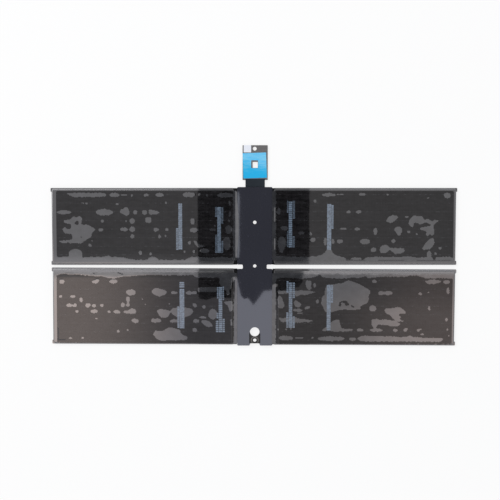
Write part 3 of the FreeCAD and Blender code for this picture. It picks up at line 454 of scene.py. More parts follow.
def tape_film(name, base):
    """Blue tape, wrinkled towards its upper end, where paler streaks are painted reflection."""
    f = Finish(name, base, 0.06, 2.2)
    upper = f.rise(f.axis("Y"), WRINKLES_AND_REFLECTION)
    streak = f.noise(1.2, 3.0, (5.0, 1.0, 1.0))
    tone = f.mix(f.noise(9.0, 2.0), shade(base, 0.95), shade(base, 1.05))
    # Painted reflection: paler streaks over the wrinkled upper end of the tape.
    f.colour(f.mix(f.times(upper, f.ramp(streak, 0.3, 0.7)), tone, (0.13, 0.58, 0.86)))
    f.roughness(f.ramp(streak, 0.3, 0.7, 0.05, 0.09))
    f.bump(f.times(upper, streak), 0.02, 0.6)
    f.bump(f.noise(9.0, 1.0), 0.03, 0.5)


def ringed(f, tone, base):
    """The tone with a bright ring round the lowest screw hole, on a darker foot."""
    x, y, inner, outer = LOWER_RING
    foot_end = y + DARK_FOOT
    tone = f.mix(f.rise(f.axis("Y"), (foot_end, foot_end + 1.0)), shade(base, 0.3), tone)
    offset = f.node("ShaderNodeVectorMath", {0: f.coordinates, 1: (x * MM, y * MM, 0.0)},
                    operation="SUBTRACT")
    flat = f.node("ShaderNodeVectorMath", {0: offset.outputs[0], 1: (1.0, 1.0, 0.0)},
                  operation="MULTIPLY")
    distance = f.node("ShaderNodeVectorMath", {0: flat.outputs[0]}, operation="LENGTH").outputs["Value"]
    ring = f.band(distance, inner - RING_EDGE, inner + RING_EDGE, outer - RING_EDGE, outer + RING_EDGE)
    return f.mix(ring, tone, (0.125, 0.12, 0.11))


def moulded(name, base, roughness, grain_mm=0.35, with_ring=False):
    """Moulded plastic with a fine eroded grain."""
    f = Finish(name, base, roughness)
    grain = f.noise(grain_mm, 3.0)
    tone = f.mix(f.noise(6.0), shade(base, 0.85), shade(base, 1.15))
    f.colour(ringed(f, tone, base) if with_ring else tone)
    f.roughness(f.ramp(grain, 0.3, 0.7, roughness * 0.85, roughness * 1.15))
    f.bump(grain, 0.02, 0.5)


def rolled_metal(name, base, roughness, along):
    """Rolled or drawn metal with fine lines along one axis."""
    f = Finish(name, base, roughness, metallic=1.0)
    grain = f.noise(0.35, 2.0, tuple(14.0 if axis == along else 1.0 for axis in "XYZ"))
    f.colour(f.mix(grain, shade(base, 0.82), shade(base, 1.08)))
    f.roughness(f.ramp(grain, 0.3, 0.7, roughness * 0.8, roughness * 1.3))
    f.bump(grain, 0.004, 0.5)


def solder_mask(name, base, roughness, track, black_end=None):
    """Circuit board under its mask, with faint tracks, and with a black end if that is given."""
    f = Finish(name, base, roughness)
    tracks = f.node("ShaderNodeTexBrick", {
        "Vector": f.coordinates, "Scale": 1.0 / (2.4 * MM), "Mortar Size": 0.05, "Brick Width": 2.6,
        "Row Height": 0.7,
    }).outputs["Fac"]
    speck = f.noise(0.3, 2.0)
    tone = f.mix(speck, shade(base, 0.85), shade(base, 1.2))
    tone = f.mix(f.times(tracks, 0.5), tone, track)
    if black_end is not None:
        tone = f.mix(f.rise(f.axis("Y"), black_end), (0.006, 0.006, 0.007), tone)
    f.colour(tone)
    f.bump(f.math("ADD", tracks, f.times(speck, 0.3)), 0.02, 0.6)


def fired_ceramic(name, base):
    f = Finish(name, base, 0.45)
    speck = f.noise(0.12, 3.0)
    f.colour(f.mix(speck, shade(base, 0.8), shade(base, 1.15)))
    f.bump(speck, 0.01, 0.6)


def label_stock(name, base):
    f = Finish(name, base, 0.6)
    fibre = f.noise(0.25, 4.0, (3.0, 1.0, 1.0))
    f.colour(f.mix(fibre, shade(base, 0.94), base))
    f.bump(fibre, 0.01, 0.6)


def printed_ink(name, base):
    f = Finish(name, base, 0.12, 1.95)
    patch = f.noise(1.3, 3.0)
    f.colour(f.mix(f.ramp(patch, 0.3, 0.7), shade(base, 0.7), shade(base, 1.35)))
    f.bump(patch, 0.004, 0.5)


# Each finish is what makes it, its colour or the setting that holds it, and what else that takes
FINISHES = {
    "liner_stuck_down": (wetted_film, "stuck_colour"),
    "liner_let_go": (let_go_film, "let_go_colour", 1.0),
    # A lighter copy of the let-go liner for the curled edge: painted highlight.
    "liner_curled": (let_go_film, "let_go_colour", 1.6),
    # A dark, dull finish for creases and edge lines: painted shade.
    "liner_crease": (moulded, (0.028, 0.027, 0.03), 0.6, 0.5),
    "cell_skin": (pouch_film, "cell_colour", 2.0),
    # A less reflective copy of the pouch skin for the folds beside the column: painted shade.
    "cell_fold": (pouch_film, "cell_colour", 1.45),
    "column_gloss": (plain_film, "column_colour", 0.035, 2.07, 16.0, 0.08, (0.77, 0.82, 0.93)),
    "back_skin": (plain_film, (0.022, 0.022, 0.024), 0.4, 1.5, 12.0, 0.15),
    "flex_cover": (plain_film, (0.009, 0.011, 0.015), 0.4, 1.42, 5.0, 0.15, (0.7, 0.88, 1.0)),
    "blue_film": (tape_film, "tape_colour"),
    "frame_moulding": (moulded, (0.030, 0.030, 0.033), 0.5, 0.35, True),
    "socket_moulding": (moulded, (0.015, 0.015, 0.016), 0.42),
    "package_moulding": (moulded, (0.018, 0.018, 0.019), 0.5, 0.2),
    "adhesive_black": (moulded, (0.008, 0.008, 0.008), 0.6, 0.5),
    "board_mask": (solder_mask, (0.012, 0.045, 0.028), 0.35, (0.03, 0.10, 0.06)),
    "tail_mask": (solder_mask, "tail_colour", 0.55, (0.14, 0.13, 0.13), BLACK_END),
    "tab_aluminium": (rolled_metal, (0.80, 0.80, 0.81), 0.32, "X"),
    "tab_nickel": (rolled_metal, (0.62, 0.59, 0.54), 0.30, "X"),
    "contact_gold": (rolled_metal, (0.83, 0.60, 0.25), 0.25, "Y"),
    "part_ceramic": (fired_ceramic, (0.32, 0.24, 0.17)),
    "label_white": (label_stock, (0.80, 0.83, 0.90)),
    "ink_blue_grey": (printed_ink, "print_colour"),
}


def material(name):
    """The named finish, made once."""
    if name not in bpy.data.materials:
        maker, base, *values = FINISHES[name]
        if isinstance(base, str):
            base = tuple(getattr(settings(), base))
        maker(name, base, *values)
    return bpy.data.materials[name]


# Meshes

def linked(name, data):
    """A new object in the scene."""
    obj = bpy.data.objects.new(name, data)
    bpy.context.scene.collection.objects.link(obj)
    return obj


def finished(name, mesh, materials, slot, *replaced):
    """An object for a finished mesh: it rides on the pack and takes the place of its CAD nodes."""
    piece = linked(name, mesh)
    for key in materials:
        mesh.materials.append(material(key))
    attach(piece, "root")
    if replaced:
        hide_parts(*replaced)
    return piece


def applied(holder):
    """The mesh of an object with its modifiers applied. The object itself goes."""
    depsgraph = bpy.context.evaluated_depsgraph_get()
    mesh = bpy.data.meshes.new_from_object(holder.evaluated_get(depsgraph))
    bpy.data.objects.remove(holder)
    return mesh


def smooth_by_angle(bm, degrees, flat_tops=False):
    """Smooth shading over the shallow edges, and if wished not over the edges of level faces."""
    limit = math.radians(degrees)
    for face in bm.faces:
        face.smooth = True
    for edge in bm.edges:
        edge.smooth = len(edge.link_faces) == 2 and edge.calc_face_angle(0.0) < limit
        if flat_tops and len({face.normal.z > LEVEL for face in edge.link_faces}) == 2:
            edge.smooth = False


def node_bmesh(node):
    """A node's mesh with its doubles merged."""
    bm = bmesh.new()
    bm.from_mesh(frame["nodes"][node].data)
    bmesh.ops.remove_doubles(bm, verts=bm.verts, dist=MERGED)
    return bm


def dressed(node, key, slot, bevel_mm=0.0, angle=PIECE_DEGREES, flat_tops=False):
    """A copy of a CAD node with softened edges and its finish, in the node's place."""
    name = "piece_" + node
    bm = node_bmesh(node)
    bmesh.ops.dissolve_limit(bm, angle_limit=math.radians(FLAT_DEGREES), verts=bm.verts, edges=bm.edges)
    smooth_by_angle(bm, angle, flat_tops)
    mesh = bpy.data.meshes.new(name)
    bm.to_mesh(mesh)
    bm.free()
    if bevel_mm:
        holder = linked(name, mesh)
        rounding = holder.modifiers.new("rounding", "BEVEL")
        rounding.width = bevel_mm * MM
        rounding.segments = 2
        rounding.limit_method = "ANGLE"
        rounding.angle_limit = math.radians(SHARP_DEGREES)
        rounding.harden_normals = False
        plain, mesh = mesh, applied(holder)
        bpy.data.meshes.remove(plain)
    return finished(name, mesh, [key], slot, node)


def with_shaded_folds(piece):
    """A pouch whose folds beside the column take a less reflective copy of its skin, painted shade, cut
    where that starts.
    """
    bm = bmesh.new()
    bm.from_mesh(piece.data)
    side = math.copysign(SHADED_FOLDS * MM, piece.data.vertices[0].co.x)
    bmesh.ops.bisect_plane(bm, geom=bm.verts[:] + bm.edges[:] + bm.faces[:], plane_co=(side, 0.0, 0.0),
                           plane_no=(1.0, 0.0, 0.0))
    for face in bm.faces:
        beside = abs(face.calc_center_median().x) < SHADED_FOLDS * MM
        face.material_index = 1 if beside and UPRIGHT < face.normal.z < LEVEL else 0
    smooth_by_angle(bm, POUCH_DEGREES, True)
    bm.to_mesh(piece.data)
    bm.free()
    piece.data.materials.append(material("cell_fold"))


def turned(x, y, angle):
    """A point in millimetres, turned about the middle of the lower row."""
    dx = x - LOWER_CENTRE[0]
    dy = y - LOWER_CENTRE[1]
    return (LOWER_CENTRE[0] + dx * math.cos(angle) - dy * math.sin(angle),
            LOWER_CENTRE[1] + dx * math.sin(angle) + dy * math.cos(angle))


class Sheet:
    """The outline and relief of one release liner, read from its CAD node."""

    def __init__(self, place):
        self.place = place
        self.turn = LOWER_TURN if place.startswith("lower") else 0.0
        self.side = -1 if place.endswith("left") else 1
        bm = node_bmesh("release_liner_" + place)
        self.tree = BVHTree.FromBMesh(bm)
        points = [turned(v.co.x / MM, v.co.y / MM, -self.turn)
                  for v in bm.verts if v.co.z < (LINER_UNDERSIDE + 0.01) * MM]
        bm.free()
        xs, ys = zip(*points)
        self.left, self.right = min(xs), max(xs)
        self.low, self.high = min(ys), max(ys)
        self.edges = []
        for side, pick in ((-1, min), (1, max)):
            ends = {}
            for x, y in points:
                if side * (x - (self.left + self.right) / 2) > 0:
                    row, end = round(y, 3), round(x, 3)
                    ends[row] = pick(ends.get(row, end), end)
            self.edges.append(sorted(ends.items()))

    def ends(self, y):
        """Left and right end of the sheet at this height on it."""
        return [float(np.interp(y, *zip(*edge))) for edge in self.edges]

    def lifted(self, x, y):
        """1 where the CAD sheet has let go at this point, 0 where it is stuck down."""
        px, py = turned(x, y, self.turn)
        hit = self.tree.ray_cast(Vector((px * MM, py * MM, 0.01)), Vector((0, 0, -1)))[0]
        if hit is None:
            return 1.0
        return 1.0 if hit.z > (WETTED_TOP + 0.03) * MM else 0.0


def blurred(grid, passes):
    """The grid with each value mixed into its neighbours."""
    for _ in range(passes):
        padded = np.pad(grid, 1, mode="edge")
        grid = (4 * padded[1:-1, 1:-1] + 2 * (padded[:-2, 1:-1] + padded[2:, 1:-1] + padded[1:-1, :-2]
                + padded[1:-1, 2:]) + padded[:-2, :-2] + padded[:-2, 2:] + padded[2:, :-2]
                + padded[2:, 2:]) / 16
    return grid


def smoothstep(value, low, high):
    t = np.clip((value - low) / (high - low), 0.0, 1.0)
    return t * t * (3 - 2 * t)


def on_faces(grid):
    """The mean of a grid's values at the four corners of each face."""
    return (grid[:-1, :-1] + grid[:-1, 1:] + grid[1:, 1:] + grid[1:, :-1]) / 4


def marked(xs, ys, mark, turn, wobble):
    """1 on a mark and 0 off it, at points of a sheet in millimetres."""
    x0, y0 = turned(*from_pixel(mark[0], mark[1]), -turn)
    x1, y1 = turned(*from_pixel(mark[2], mark[3]), -turn)
    dx, dy = x1 - x0, y1 - y0
    along = np.clip(((xs - x0) * dx + (ys - y0) * dy) / (dx * dx + dy * dy), 0.0, 1.0)
    gap = np.hypot(xs - x0 - along * dx, ys - y0 - along * dy) / MM_PER_PIXEL
    return smoothstep(mark[4] - gap + 0.25 * wobble, -0.3, 0.3)


def add_underside(bm, top, side, edge_columns):
    """Walls and an underside for a grid of points: it follows the grid beside the column, flat elsewhere."""
    rows, columns = range(len(top)), range(len(top[0]))
    if side < 0:
        inner = columns[-1 - edge_columns:]
        first, last, outer = columns[0], inner[0], columns[0]
    else:
        inner = columns[:edge_columns + 1]
        first, last, outer = inner[-1], columns[-1], columns[-1]
    low = {}
    for r in rows:
        for c in columns:
            if r in (rows[0], rows[-1]) or c in inner or c == outer:
                above = top[r][c].co
                z = min(LINER_UNDERSIDE * MM, above.z - (WETTED_TOP - LINER_UNDERSIDE) * MM)
                low[r, c] = bm.verts.new((above.x, above.y, z))

    def face(*corners):
        made = bm.faces.new(corners)
        made.material_index = 1
        return made

    for r in rows[:-1]:
        for c in inner[:-1]:
            face(low[r, c], low[r + 1, c], low[r + 1, c + 1], low[r, c + 1])
    ring = ([low[r, first] for r in rows] + [low[rows[-1], c] for c in range(first + 1, last + 1)]
            + [low[r, last] for r in reversed(rows[:-1])]
            + [low[0, c] for c in range(last - 1, first, -1)])
    flat = face(*ring)
    for c in columns[:-1]:
        face(top[0][c + 1], top[0][c], low[0, c], low[0, c + 1])
        face(top[-1][c], top[-1][c + 1], low[rows[-1], c + 1], low[rows[-1], c])
    for r in rows[:-1]:
        face(top[r][0], top[r + 1][0], low[r + 1, 0], low[r, 0])
        face(top[r + 1][-1], top[r][-1], low[r, columns[-1]], low[r + 1, columns[-1]])
    bmesh.ops.triangulate(bm, faces=[flat])


def noise_grid(xs, ys, *waves):
    """Noise at the points of a sheet. A wave is its strength, its lengths along X and Y and its level."""
    return np.array([[sum(strength * noise.noise(Vector((x / long, y / wide, level)))
                          for strength, long, wide, level in waves)
                      for x in row] for row, y in zip(xs, ys)])


def let_go_share(sheet, xs, ys):
    """How far the liner has let go at each point of the sheet, and how far it takes the dark crease
    marks of painted shade, from 0 to 1.
    """
    inside = np.clip(xs, sheet.left + SHEET_MARGIN, sheet.right - SHEET_MARGIN)
    share = np.array([[sheet.lifted(x, y) for x in row] for row, y in zip(inside, ys)])
    wobble = noise_grid(xs, ys, (1.0, 1.6, 1.3, 3.0), (0.8, 0.9, 0.7, 6.0))
    share = smoothstep(blurred(share, settings().liner_blur) + 0.2 * wobble, 0.32, 0.68)
    crease_shade = np.zeros(xs.shape)
    for finish, marks in MARKS[sheet.place].items():
        for mark in marks:
            here = marked(xs, ys[:, None], mark, sheet.turn, wobble)
            if finish == "liner_let_go":
                share = np.maximum(share, here)
            elif finish == "liner_stuck_down":
                share = np.minimum(share, 1.0 - here)
            else:
                crease_shade = np.maximum(crease_shade, here)
    return share, crease_shade


def rising_share(place, ys):
    """How far the edge beside the column rises in each row of a sheet, from 0 to 1."""
    share = np.zeros((len(ys), 1))
    for upper, lower in RISING[place]:
        low, high = from_pixel(0, lower)[1], from_pixel(0, upper)[1]
        share[:, 0] += smoothstep(ys, low - 1.0, low + 1.0) * smoothstep(-ys, -high - 1.0, 1.0 - high)
    return share


def liner_piece(place):
    """One liner as a fine closed sheet, pressed down where it is stuck and curled beside the column."""
    sheet = Sheet(place)
    step = settings().liner_step / MM
    rows = int((sheet.high - sheet.low) / step) + 1
    columns = int((sheet.right - sheet.left) / step) + 1
    ys = np.linspace(sheet.low, sheet.high, rows)
    xs = np.array([np.linspace(*sheet.ends(y), columns) for y in ys])
    let_go, crease_shade = let_go_share(sheet, xs, ys)
    swell = 0.86 + 0.14 * noise_grid(xs, ys, (1.0, 11.0, 6.0, 9.0))
    height = WETTED_TOP + (LET_GO_TOP - WETTED_TOP) * let_go * swell
    start, turn, end, depth = DIPS[place]
    rising = rising_share(place, ys)
    out = np.abs(xs)
    height = height - depth * rising * np.clip((start - out) / (start - turn), 0.0, 1.0)
    height = height + RISE * rising * (np.maximum(turn - out, 0.0) - np.maximum(end - out, 0.0))
    finish = np.where(on_faces(let_go) > 0.5, 1, 0)
    # A risen edge takes the lighter curled copy, a painted highlight, unless its place names another.
    edge = EDGE_FINISHES.get(place, "liner_curled")
    finish[on_faces(rising * (out < turn)) > 0.5] = LINER_FINISHES.index(edge)
    # The crease marks take the dark finish, painted shade.
    finish[on_faces(crease_shade) > 0.5] = LINER_FINISHES.index("liner_crease")
    bm = bmesh.new()
    top = []
    for r in range(rows):
        places = [turned(x, ys[r], sheet.turn) for x in xs[r]]
        top.append([bm.verts.new((x * MM, y * MM, z * MM)) for (x, y), z in zip(places, height[r])])
    for r in range(rows - 1):
        for c in range(columns - 1):
            face = bm.faces.new((top[r][c], top[r][c + 1], top[r + 1][c + 1], top[r + 1][c]))
            face.smooth = True
            face.material_index = int(finish[r, c])
    add_underside(bm, top, sheet.side, int((start + 1.0 - out.min()) / step))
    for edge in bm.edges:
        edge.smooth = edge.calc_face_angle(0.0) < math.radians(SHARP_DEGREES)
    mesh = bpy.data.meshes.new("liner_" + place)
    bm.to_mesh(mesh)
    bm.free()
    return finished("liner_" + place, mesh, LINER_FINISHES, "release_liner", "release_liner_" + place)


# Printed strips, as a geometry nodes tree

def ladder_tree():
    """A node tree that lays a row of printed dashes on a target surface."""
    tree = bpy.data.node_groups.new("printed_ladder", "GeometryNodeTree")
    tree.interface.new_socket("Geometry", in_out="OUTPUT", socket_type="NodeSocketGeometry")
    for name, kind, default in (
        ("Width", "Float", 0.003), ("Length", "Float", 0.01), ("Pitch", "Float", 0.0009),
        ("Dash", "Float", 0.0006), ("Ink", "Float", 0.000006), ("Uneven", "Float", 0.2),
        ("Seed", "Int", 1), ("Surface", "Object", None), ("Material", "Material", None),
        ("Place", "Vector", (0.0, 0.0, 0.0)),
    ):
        socket = tree.interface.new_socket(name, in_out="INPUT", socket_type="NodeSocket" + kind)
        socket.default_value = default
    t = Tree(tree)
    given = t.node("NodeGroupInput").outputs
    count = t.math("MAXIMUM", t.math("FLOOR", t.math("DIVIDE", given["Length"], given["Pitch"])), 1.0)
    line = t.node("GeometryNodeMeshLine", {"Count": count, "Offset": t.vector(Y=given["Pitch"])})
    dash = t.node("GeometryNodeMeshCube", {
        "Size": t.vector(X=given["Width"], Y=given["Dash"], Z=given["Ink"]),
        "Vertices X": 6, "Vertices Y": 2, "Vertices Z": 2,
    })
    spread = t.node("FunctionNodeRandomValue", {"Seed": given["Seed"]}, data_type="FLOAT")
    least, most = [s for s in spread.inputs if s.name in ("Min", "Max") and s.type == "VALUE"]
    t.feed(least, t.math("SUBTRACT", 1.0, given["Uneven"]))
    t.feed(most, 1.0)
    share = [s for s in spread.outputs if s.type == "VALUE"][0]
    dashes = t.node("GeometryNodeInstanceOnPoints", {
        "Points": line.outputs["Mesh"], "Instance": dash.outputs["Mesh"],
        "Scale": t.vector(X=share, Y=1.0, Z=1.0),
    })
    moved = t.node("GeometryNodeTransform", {
        "Geometry": dashes.outputs["Instances"], "Translation": given["Place"],
    })
    realized = t.node("GeometryNodeRealizeInstances", {"Geometry": moved.outputs["Geometry"]})
    surface = t.node("GeometryNodeObjectInfo", {"Object": given["Surface"]}, transform_space="RELATIVE")
    here = t.parts(t.node("GeometryNodeInputPosition").outputs[0])
    ray = t.node("GeometryNodeRaycast", {
        "Target Geometry": surface.outputs["Geometry"], "Ray Direction": (0.0, 0.0, -1.0),
        "Source Position": t.vector(X=here["X"], Y=here["Y"], Z=0.01), "Ray Length": 0.02,
    })
    height = t.math("ADD", t.parts(ray.outputs["Hit Position"])["Z"], here["Z"])
    laid = t.node("GeometryNodeSetPosition", {
        "Geometry": realized.outputs["Geometry"],
        "Position": t.vector(X=here["X"], Y=here["Y"], Z=height),
    })
    painted = t.node("GeometryNodeSetMaterial", {
        "Geometry": laid.outputs["Geometry"], "Material": given["Material"],
    })
    t.node("NodeGroupOutput", {"Geometry": painted.outputs["Geometry"]})
    return tree


def laid_strip(tree, surface, strip, seed):
    """The mesh of one printed strip, laid on a liner."""
    left, right, upper, lower, style = strip
    x0, y1 = from_pixel(left, upper)
    x1, y0 = from_pixel(right, lower)
    pitch, dash, uneven = STRIP_STYLES[style]
    holder = linked("strip", bpy.data.meshes.new("strip"))
    modifier = holder.modifiers.new("ladder", "NODES")
    modifier.node_group = tree
    values = {
        "Width": (x1 - x0) * MM, "Length": (y1 - y0) * MM, "Pitch": pitch * MM, "Dash": dash * MM,
        "Ink": INK_THICKNESS * MM, "Uneven": uneven, "Seed": seed, "Surface": surface,
        "Material": material("ink_blue_grey"),
        "Place": ((x0 + x1) / 2 * MM, (y0 + pitch / 2) * MM, INK_THICKNESS / 2 * MM),
    }
    for item in tree.interface.items_tree:
        if item.item_type == "SOCKET" and item.in_out == "INPUT":
            modifier[item.identifier] = values[item.name]
    bpy.context.view_layer.update()
    return applied(holder)


def print_piece(place, tree):
    """The printed strips of one liner, as one piece."""
    name = "print_" + place
    surface = bpy.data.objects["liner_" + place]
    bm = bmesh.new()
    for i, strip in enumerate(PRINT_STRIPS[place]):
        mesh = laid_strip(tree, surface, strip, 10 * PLACES.index(place) + i)
        bm.from_mesh(mesh)
        bpy.data.meshes.remove(mesh)
    joined = bpy.data.meshes.new(name)
    bm.to_mesh(joined)
    bm.free()
    return finished(name, joined, ["ink_blue_grey"], "release_liner")


# Stage

def staged(name, mesh, mat):
    obj = linked(name, mesh)
    mesh.materials.append(mat)
    return obj


def flat_mesh(name, corners, z):
    """A flat outline in metres at height z."""
    mesh = bpy.data.meshes.new(name)
    mesh.from_pydata([(x, y, z) for x, y in corners], [], [tuple(range(len(corners)))])
    return mesh


def camera_place():
    cx, cy = from_pixel(IMAGE_SIZE / 2, IMAGE_SIZE / 2)
    return Vector((cx * MM, cy * MM + CAMERA_DISTANCE * math.sin(CAMERA_LEAN),
                   CAMERA_DISTANCE * math.cos(CAMERA_LEAN)))


def mirrored(x_mm, y_mm, height):
    """Where a point of the gloss shows what hangs at this height, in metres."""
    eye = camera_place()
    share = height / eye.z
    return x_mm * MM + (x_mm * MM - eye.x) * share, y_mm * MM + (y_mm * MM - eye.y) * share


def only_in_gloss(obj):
    for ray in ("camera", "diffuse", "shadow", "transmission", "volume_scatter"):
        setattr(obj, "visible_" + ray, False)


def emitter(name):
    """A glowing material, its tree and its glow's node."""
    mat = bpy.data.materials.new(name)
    mat.use_nodes = True
    mat.node_tree.nodes.clear()
    tree = Tree(mat.node_tree)
    glow = tree.node("ShaderNodeEmission")
    tree.node("ShaderNodeOutputMaterial", {"Surface": glow.outputs[0]})
    return mat, tree, glow


# Brightness and colour of the panel as the gloss shows it over the parts of the pack
PANEL_TONES = {
    "upper_left": (0.80, 0.78, 0.80), "upper_right": (0.78, 0.76, 0.77), "gap_left": (1.35, 1.32, 1.38),
    "fold_left": (2.35, 2.28, 2.39), "fold_right": (2.05, 1.98, 2.03),
    "edge_far_left": (1.45, 1.38, 1.38), "edge_near_left": (0.80, 0.78, 0.80),
    "far_left": (3.08, 2.62, 2.46), "near_left": (0.75, 0.72, 0.78), "middle": (1.14, 1.10, 1.12),
    "near_right_high": (0.60, 0.58, 0.60), "near_right_low": (0.75, 0.70, 0.70),
    "far_right_high": (1.20, 1.02, 0.98), "far_right_low": (1.80, 1.52, 1.45),
}


def bright_panel():
    """Soft panel over the pack that only the gloss shows, brighter and warmer over the lower left."""
    reach_x, reach_y = PANEL_REACH
    x0, y0 = mirrored(-reach_x, -reach_y, PANEL_HEIGHT)
    x1, y1 = mirrored(reach_x, reach_y, PANEL_HEIGHT)
    mesh = flat_mesh("bright_panel", [(x0, y1), (x1, y1), (x1, y0), (x0, y0)], PANEL_HEIGHT)
    mat, tree, glow = emitter("panel_glow")
    place = tree.parts(tree.node("ShaderNodeTexCoord").outputs["Object"])

    def blend(first, second, axis, start_mm, end_mm):
        """From the first tone at the start to the second at the end."""
        start, end = (mirrored(mm, mm, PANEL_HEIGHT)["XY".index(axis)] for mm in (start_mm, end_mm))
        tones = [PANEL_TONES[tone] if isinstance(tone, str) else tone for tone in (first, second)]
        return tree.mix(tree.ramp(place[axis], start, end), *tones)

    left = blend("far_left", "near_left", "X", -125, -35)
    left = blend(left, "middle", "X", -16, -12)
    right = blend(blend("near_right_high", "far_right_high", "X", 60, 130),
                  blend("near_right_low", "far_right_low", "X", 45, 125), "Y", -24, -50)
    right = blend("middle", right, "X", 12, 16)
    edge = blend("edge_far_left", "edge_near_left", "X", -85, -60)
    left_side = blend("upper_left", "gap_left", "Y", -4, -12.5)
    left_side = blend(left_side, "fold_left", "Y", -13.2, -15.2)
    left_side = blend(left_side, edge, "Y", -17.2, -18.3)
    left_side = blend(left_side, left, "Y", -20, -22.5)
    right_side = blend("upper_right", "fold_right", "Y", -13.6, -15.2)
    right_side = blend(right_side, right, "Y", -18.7, -19.5)
    tree.feed(glow.inputs["Color"], blend(left_side, right_side, "X", -1, 1))
    only_in_gloss(staged("bright_panel", mesh, mat))


def gloss_card(name, outline, height=CARD_HEIGHT, tone=0.0):
    """A card of one tone that only the gloss shows, over an outline in pixels."""
    corners = [mirrored(*from_pixel(px, py), height) for px, py in outline]
    mat, tree, glow = emitter(name + "_tone")
    tree.feed(glow.inputs["Color"], (tone, tone, tone))
    only_in_gloss(staged(name, flat_mesh(name, corners, height), mat))


def seen_directly(tree):
    """1 for what the camera and the gloss see, and 0 for the light that falls on the rest."""
    path = tree.node("ShaderNodeLightPath").outputs
    return tree.math("MAXIMUM", path["Is Camera Ray"], path["Is Glossy Ray"])


def pale_floor():
    """A white floor that glows a little where it is seen."""
    half = settings().floor_size / 2
    mesh = flat_mesh("floor", [(-half, -half), (half, -half), (half, half), (-half, half)], 0.0)
    f = Finish("floor_white", (0.92, 0.92, 0.92), 0.9)
    glow = f.node("ShaderNodeEmission").outputs[0]
    share = f.times(seen_directly(f), FLOOR_GLOW)
    mixed = f.node("ShaderNodeMixShader", {0: share, 1: f.shader.outputs[0], 2: glow})
    f.feed(f.tree.nodes["Material Output"].inputs["Surface"], mixed.outputs[0])
    staged("floor", mesh, f.material).location.z = -FLOOR_DROP


def soft_light():
    """A pale sky that looks white where it is seen, and a large lamp."""
    world = bpy.data.worlds.new("studio")
    bpy.context.scene.world = world
    world.use_nodes = True
    sky = Tree(world.node_tree)
    background = world.node_tree.nodes["Background"]
    sky.feed(background.inputs["Color"], (0.96, 0.97, 1.0))
    strength = sky.ramp(seen_directly(sky), 0.0, 1.0, settings().world_strength, 1.0, smooth=False)
    sky.feed(background.inputs["Strength"], strength)
    lamp = bpy.data.lights.new("soft_box", "AREA")
    lamp.shape = "RECTANGLE"
    lamp.size, lamp.size_y = LAMP_SIZE
    lamp.energy = settings().lamp_power
    place = Vector(LAMP_PLACE)
    turn = place.to_track_quat("Z", "Y").to_matrix().to_4x4()
    linked("soft_box", lamp).matrix_world = Matrix.Translation(place) @ turn


def photo_camera():
    data = bpy.data.cameras.new("photo_camera")
    data.sensor_width = SENSOR_MM
    data.lens = SENSOR_MM * CAMERA_DISTANCE / (IMAGE_SIZE * MM_PER_PIXEL * MM)
    data.clip_start = 0.01
    data.clip_end = 20.0
    camera = linked("photo_camera", data)
    camera.location = camera_place() + Vector((0.0, 0.0, WETTED_TOP * MM))
    camera.rotation_euler = (-CAMERA_LEAN, 0.0, 0.0)
    bpy.context.scene.camera = camera


# Settings

def colour_setting(name, description, default):
    return FloatVectorProperty(name=name, description=description, subtype="COLOR", size=3, min=0, max=1,
                               default=default)


class BatterySettings(bpy.types.PropertyGroup):
    """Sizes and colours of the dressed battery pack"""

    stuck_colour: colour_setting(
        "Stuck liner", "Colour of the black adhesive under a stuck liner", (0.0075, 0.0072, 0.0078))
    let_go_colour: colour_setting(
        "Let-go liner", "Colour of a liner with air under it", (0.038, 0.039, 0.043))
    cell_colour: colour_setting(
        "Cell skin", "Colour of the outer film of a pouch cell", (0.045, 0.045, 0.048))
    column_colour: colour_setting(
        "Column film", "Colour of the glossy film over the centre column", (0.032, 0.033, 0.043))
    tape_colour: colour_setting("Tail tape", "Colour of the tape on the tail board", (0.028, 0.50, 0.89))
    tail_colour: colour_setting("Tail board", "Colour of the tail board's mask", (0.105, 0.10, 0.10))
    print_colour: colour_setting("Print", "Colour of the printed strips", (0.108, 0.143, 0.19))
    liner_step: FloatProperty(
        name="Liner mesh step", description="Distance between the points of a liner's mesh",
        subtype="DISTANCE", unit="LENGTH", min=0.0002, max=0.002, default=0.0004)
    liner_blur: IntProperty(
        name="Liner softness", description="How often the relief of a liner is smoothed",
        min=0, max=12, default=3)
    floor_size: FloatProperty(
        name="Floor", description="Side of the floor", subtype="DISTANCE", unit="LENGTH",
        min=0.5, max=20.0, default=6.0)
    world_strength: FloatProperty(
        name="Sky", description="Strength of the light from all round", min=0.0, max=2.0, default=0.72)
    lamp_power: FloatProperty(
        name="Soft box", description="Power of the soft box", subtype="POWER", unit="POWER",
        min=0.0, max=200.0, default=12.0)


def settings():
    return bpy.context.scene.battery_settings


# Operators

class BATTERY_OT_stage(bpy.types.Operator):
    """Set up the camera, the floor, the light and what the gloss shows"""

    bl_idname = "battery.stage"
    bl_label = "Stage"

    def execute(self, context):
        for other in list(context.scene.objects):
            if other.type in {"LIGHT", "CAMERA"}:
                bpy.data.objects.remove(other)
        context.scene.view_settings.view_transform = "Standard"
        photo_camera()
        soft_light()
        pale_floor()
        bright_panel()
        gloss_card("dark_card", DARK_CARD)
        gloss_card("far_card", FAR_CARD)
        for name, (tone, outline) in SLIVERS.items():
            gloss_card(name, outline, SLIVER_HEIGHT, tone)
        return {"FINISHED"}


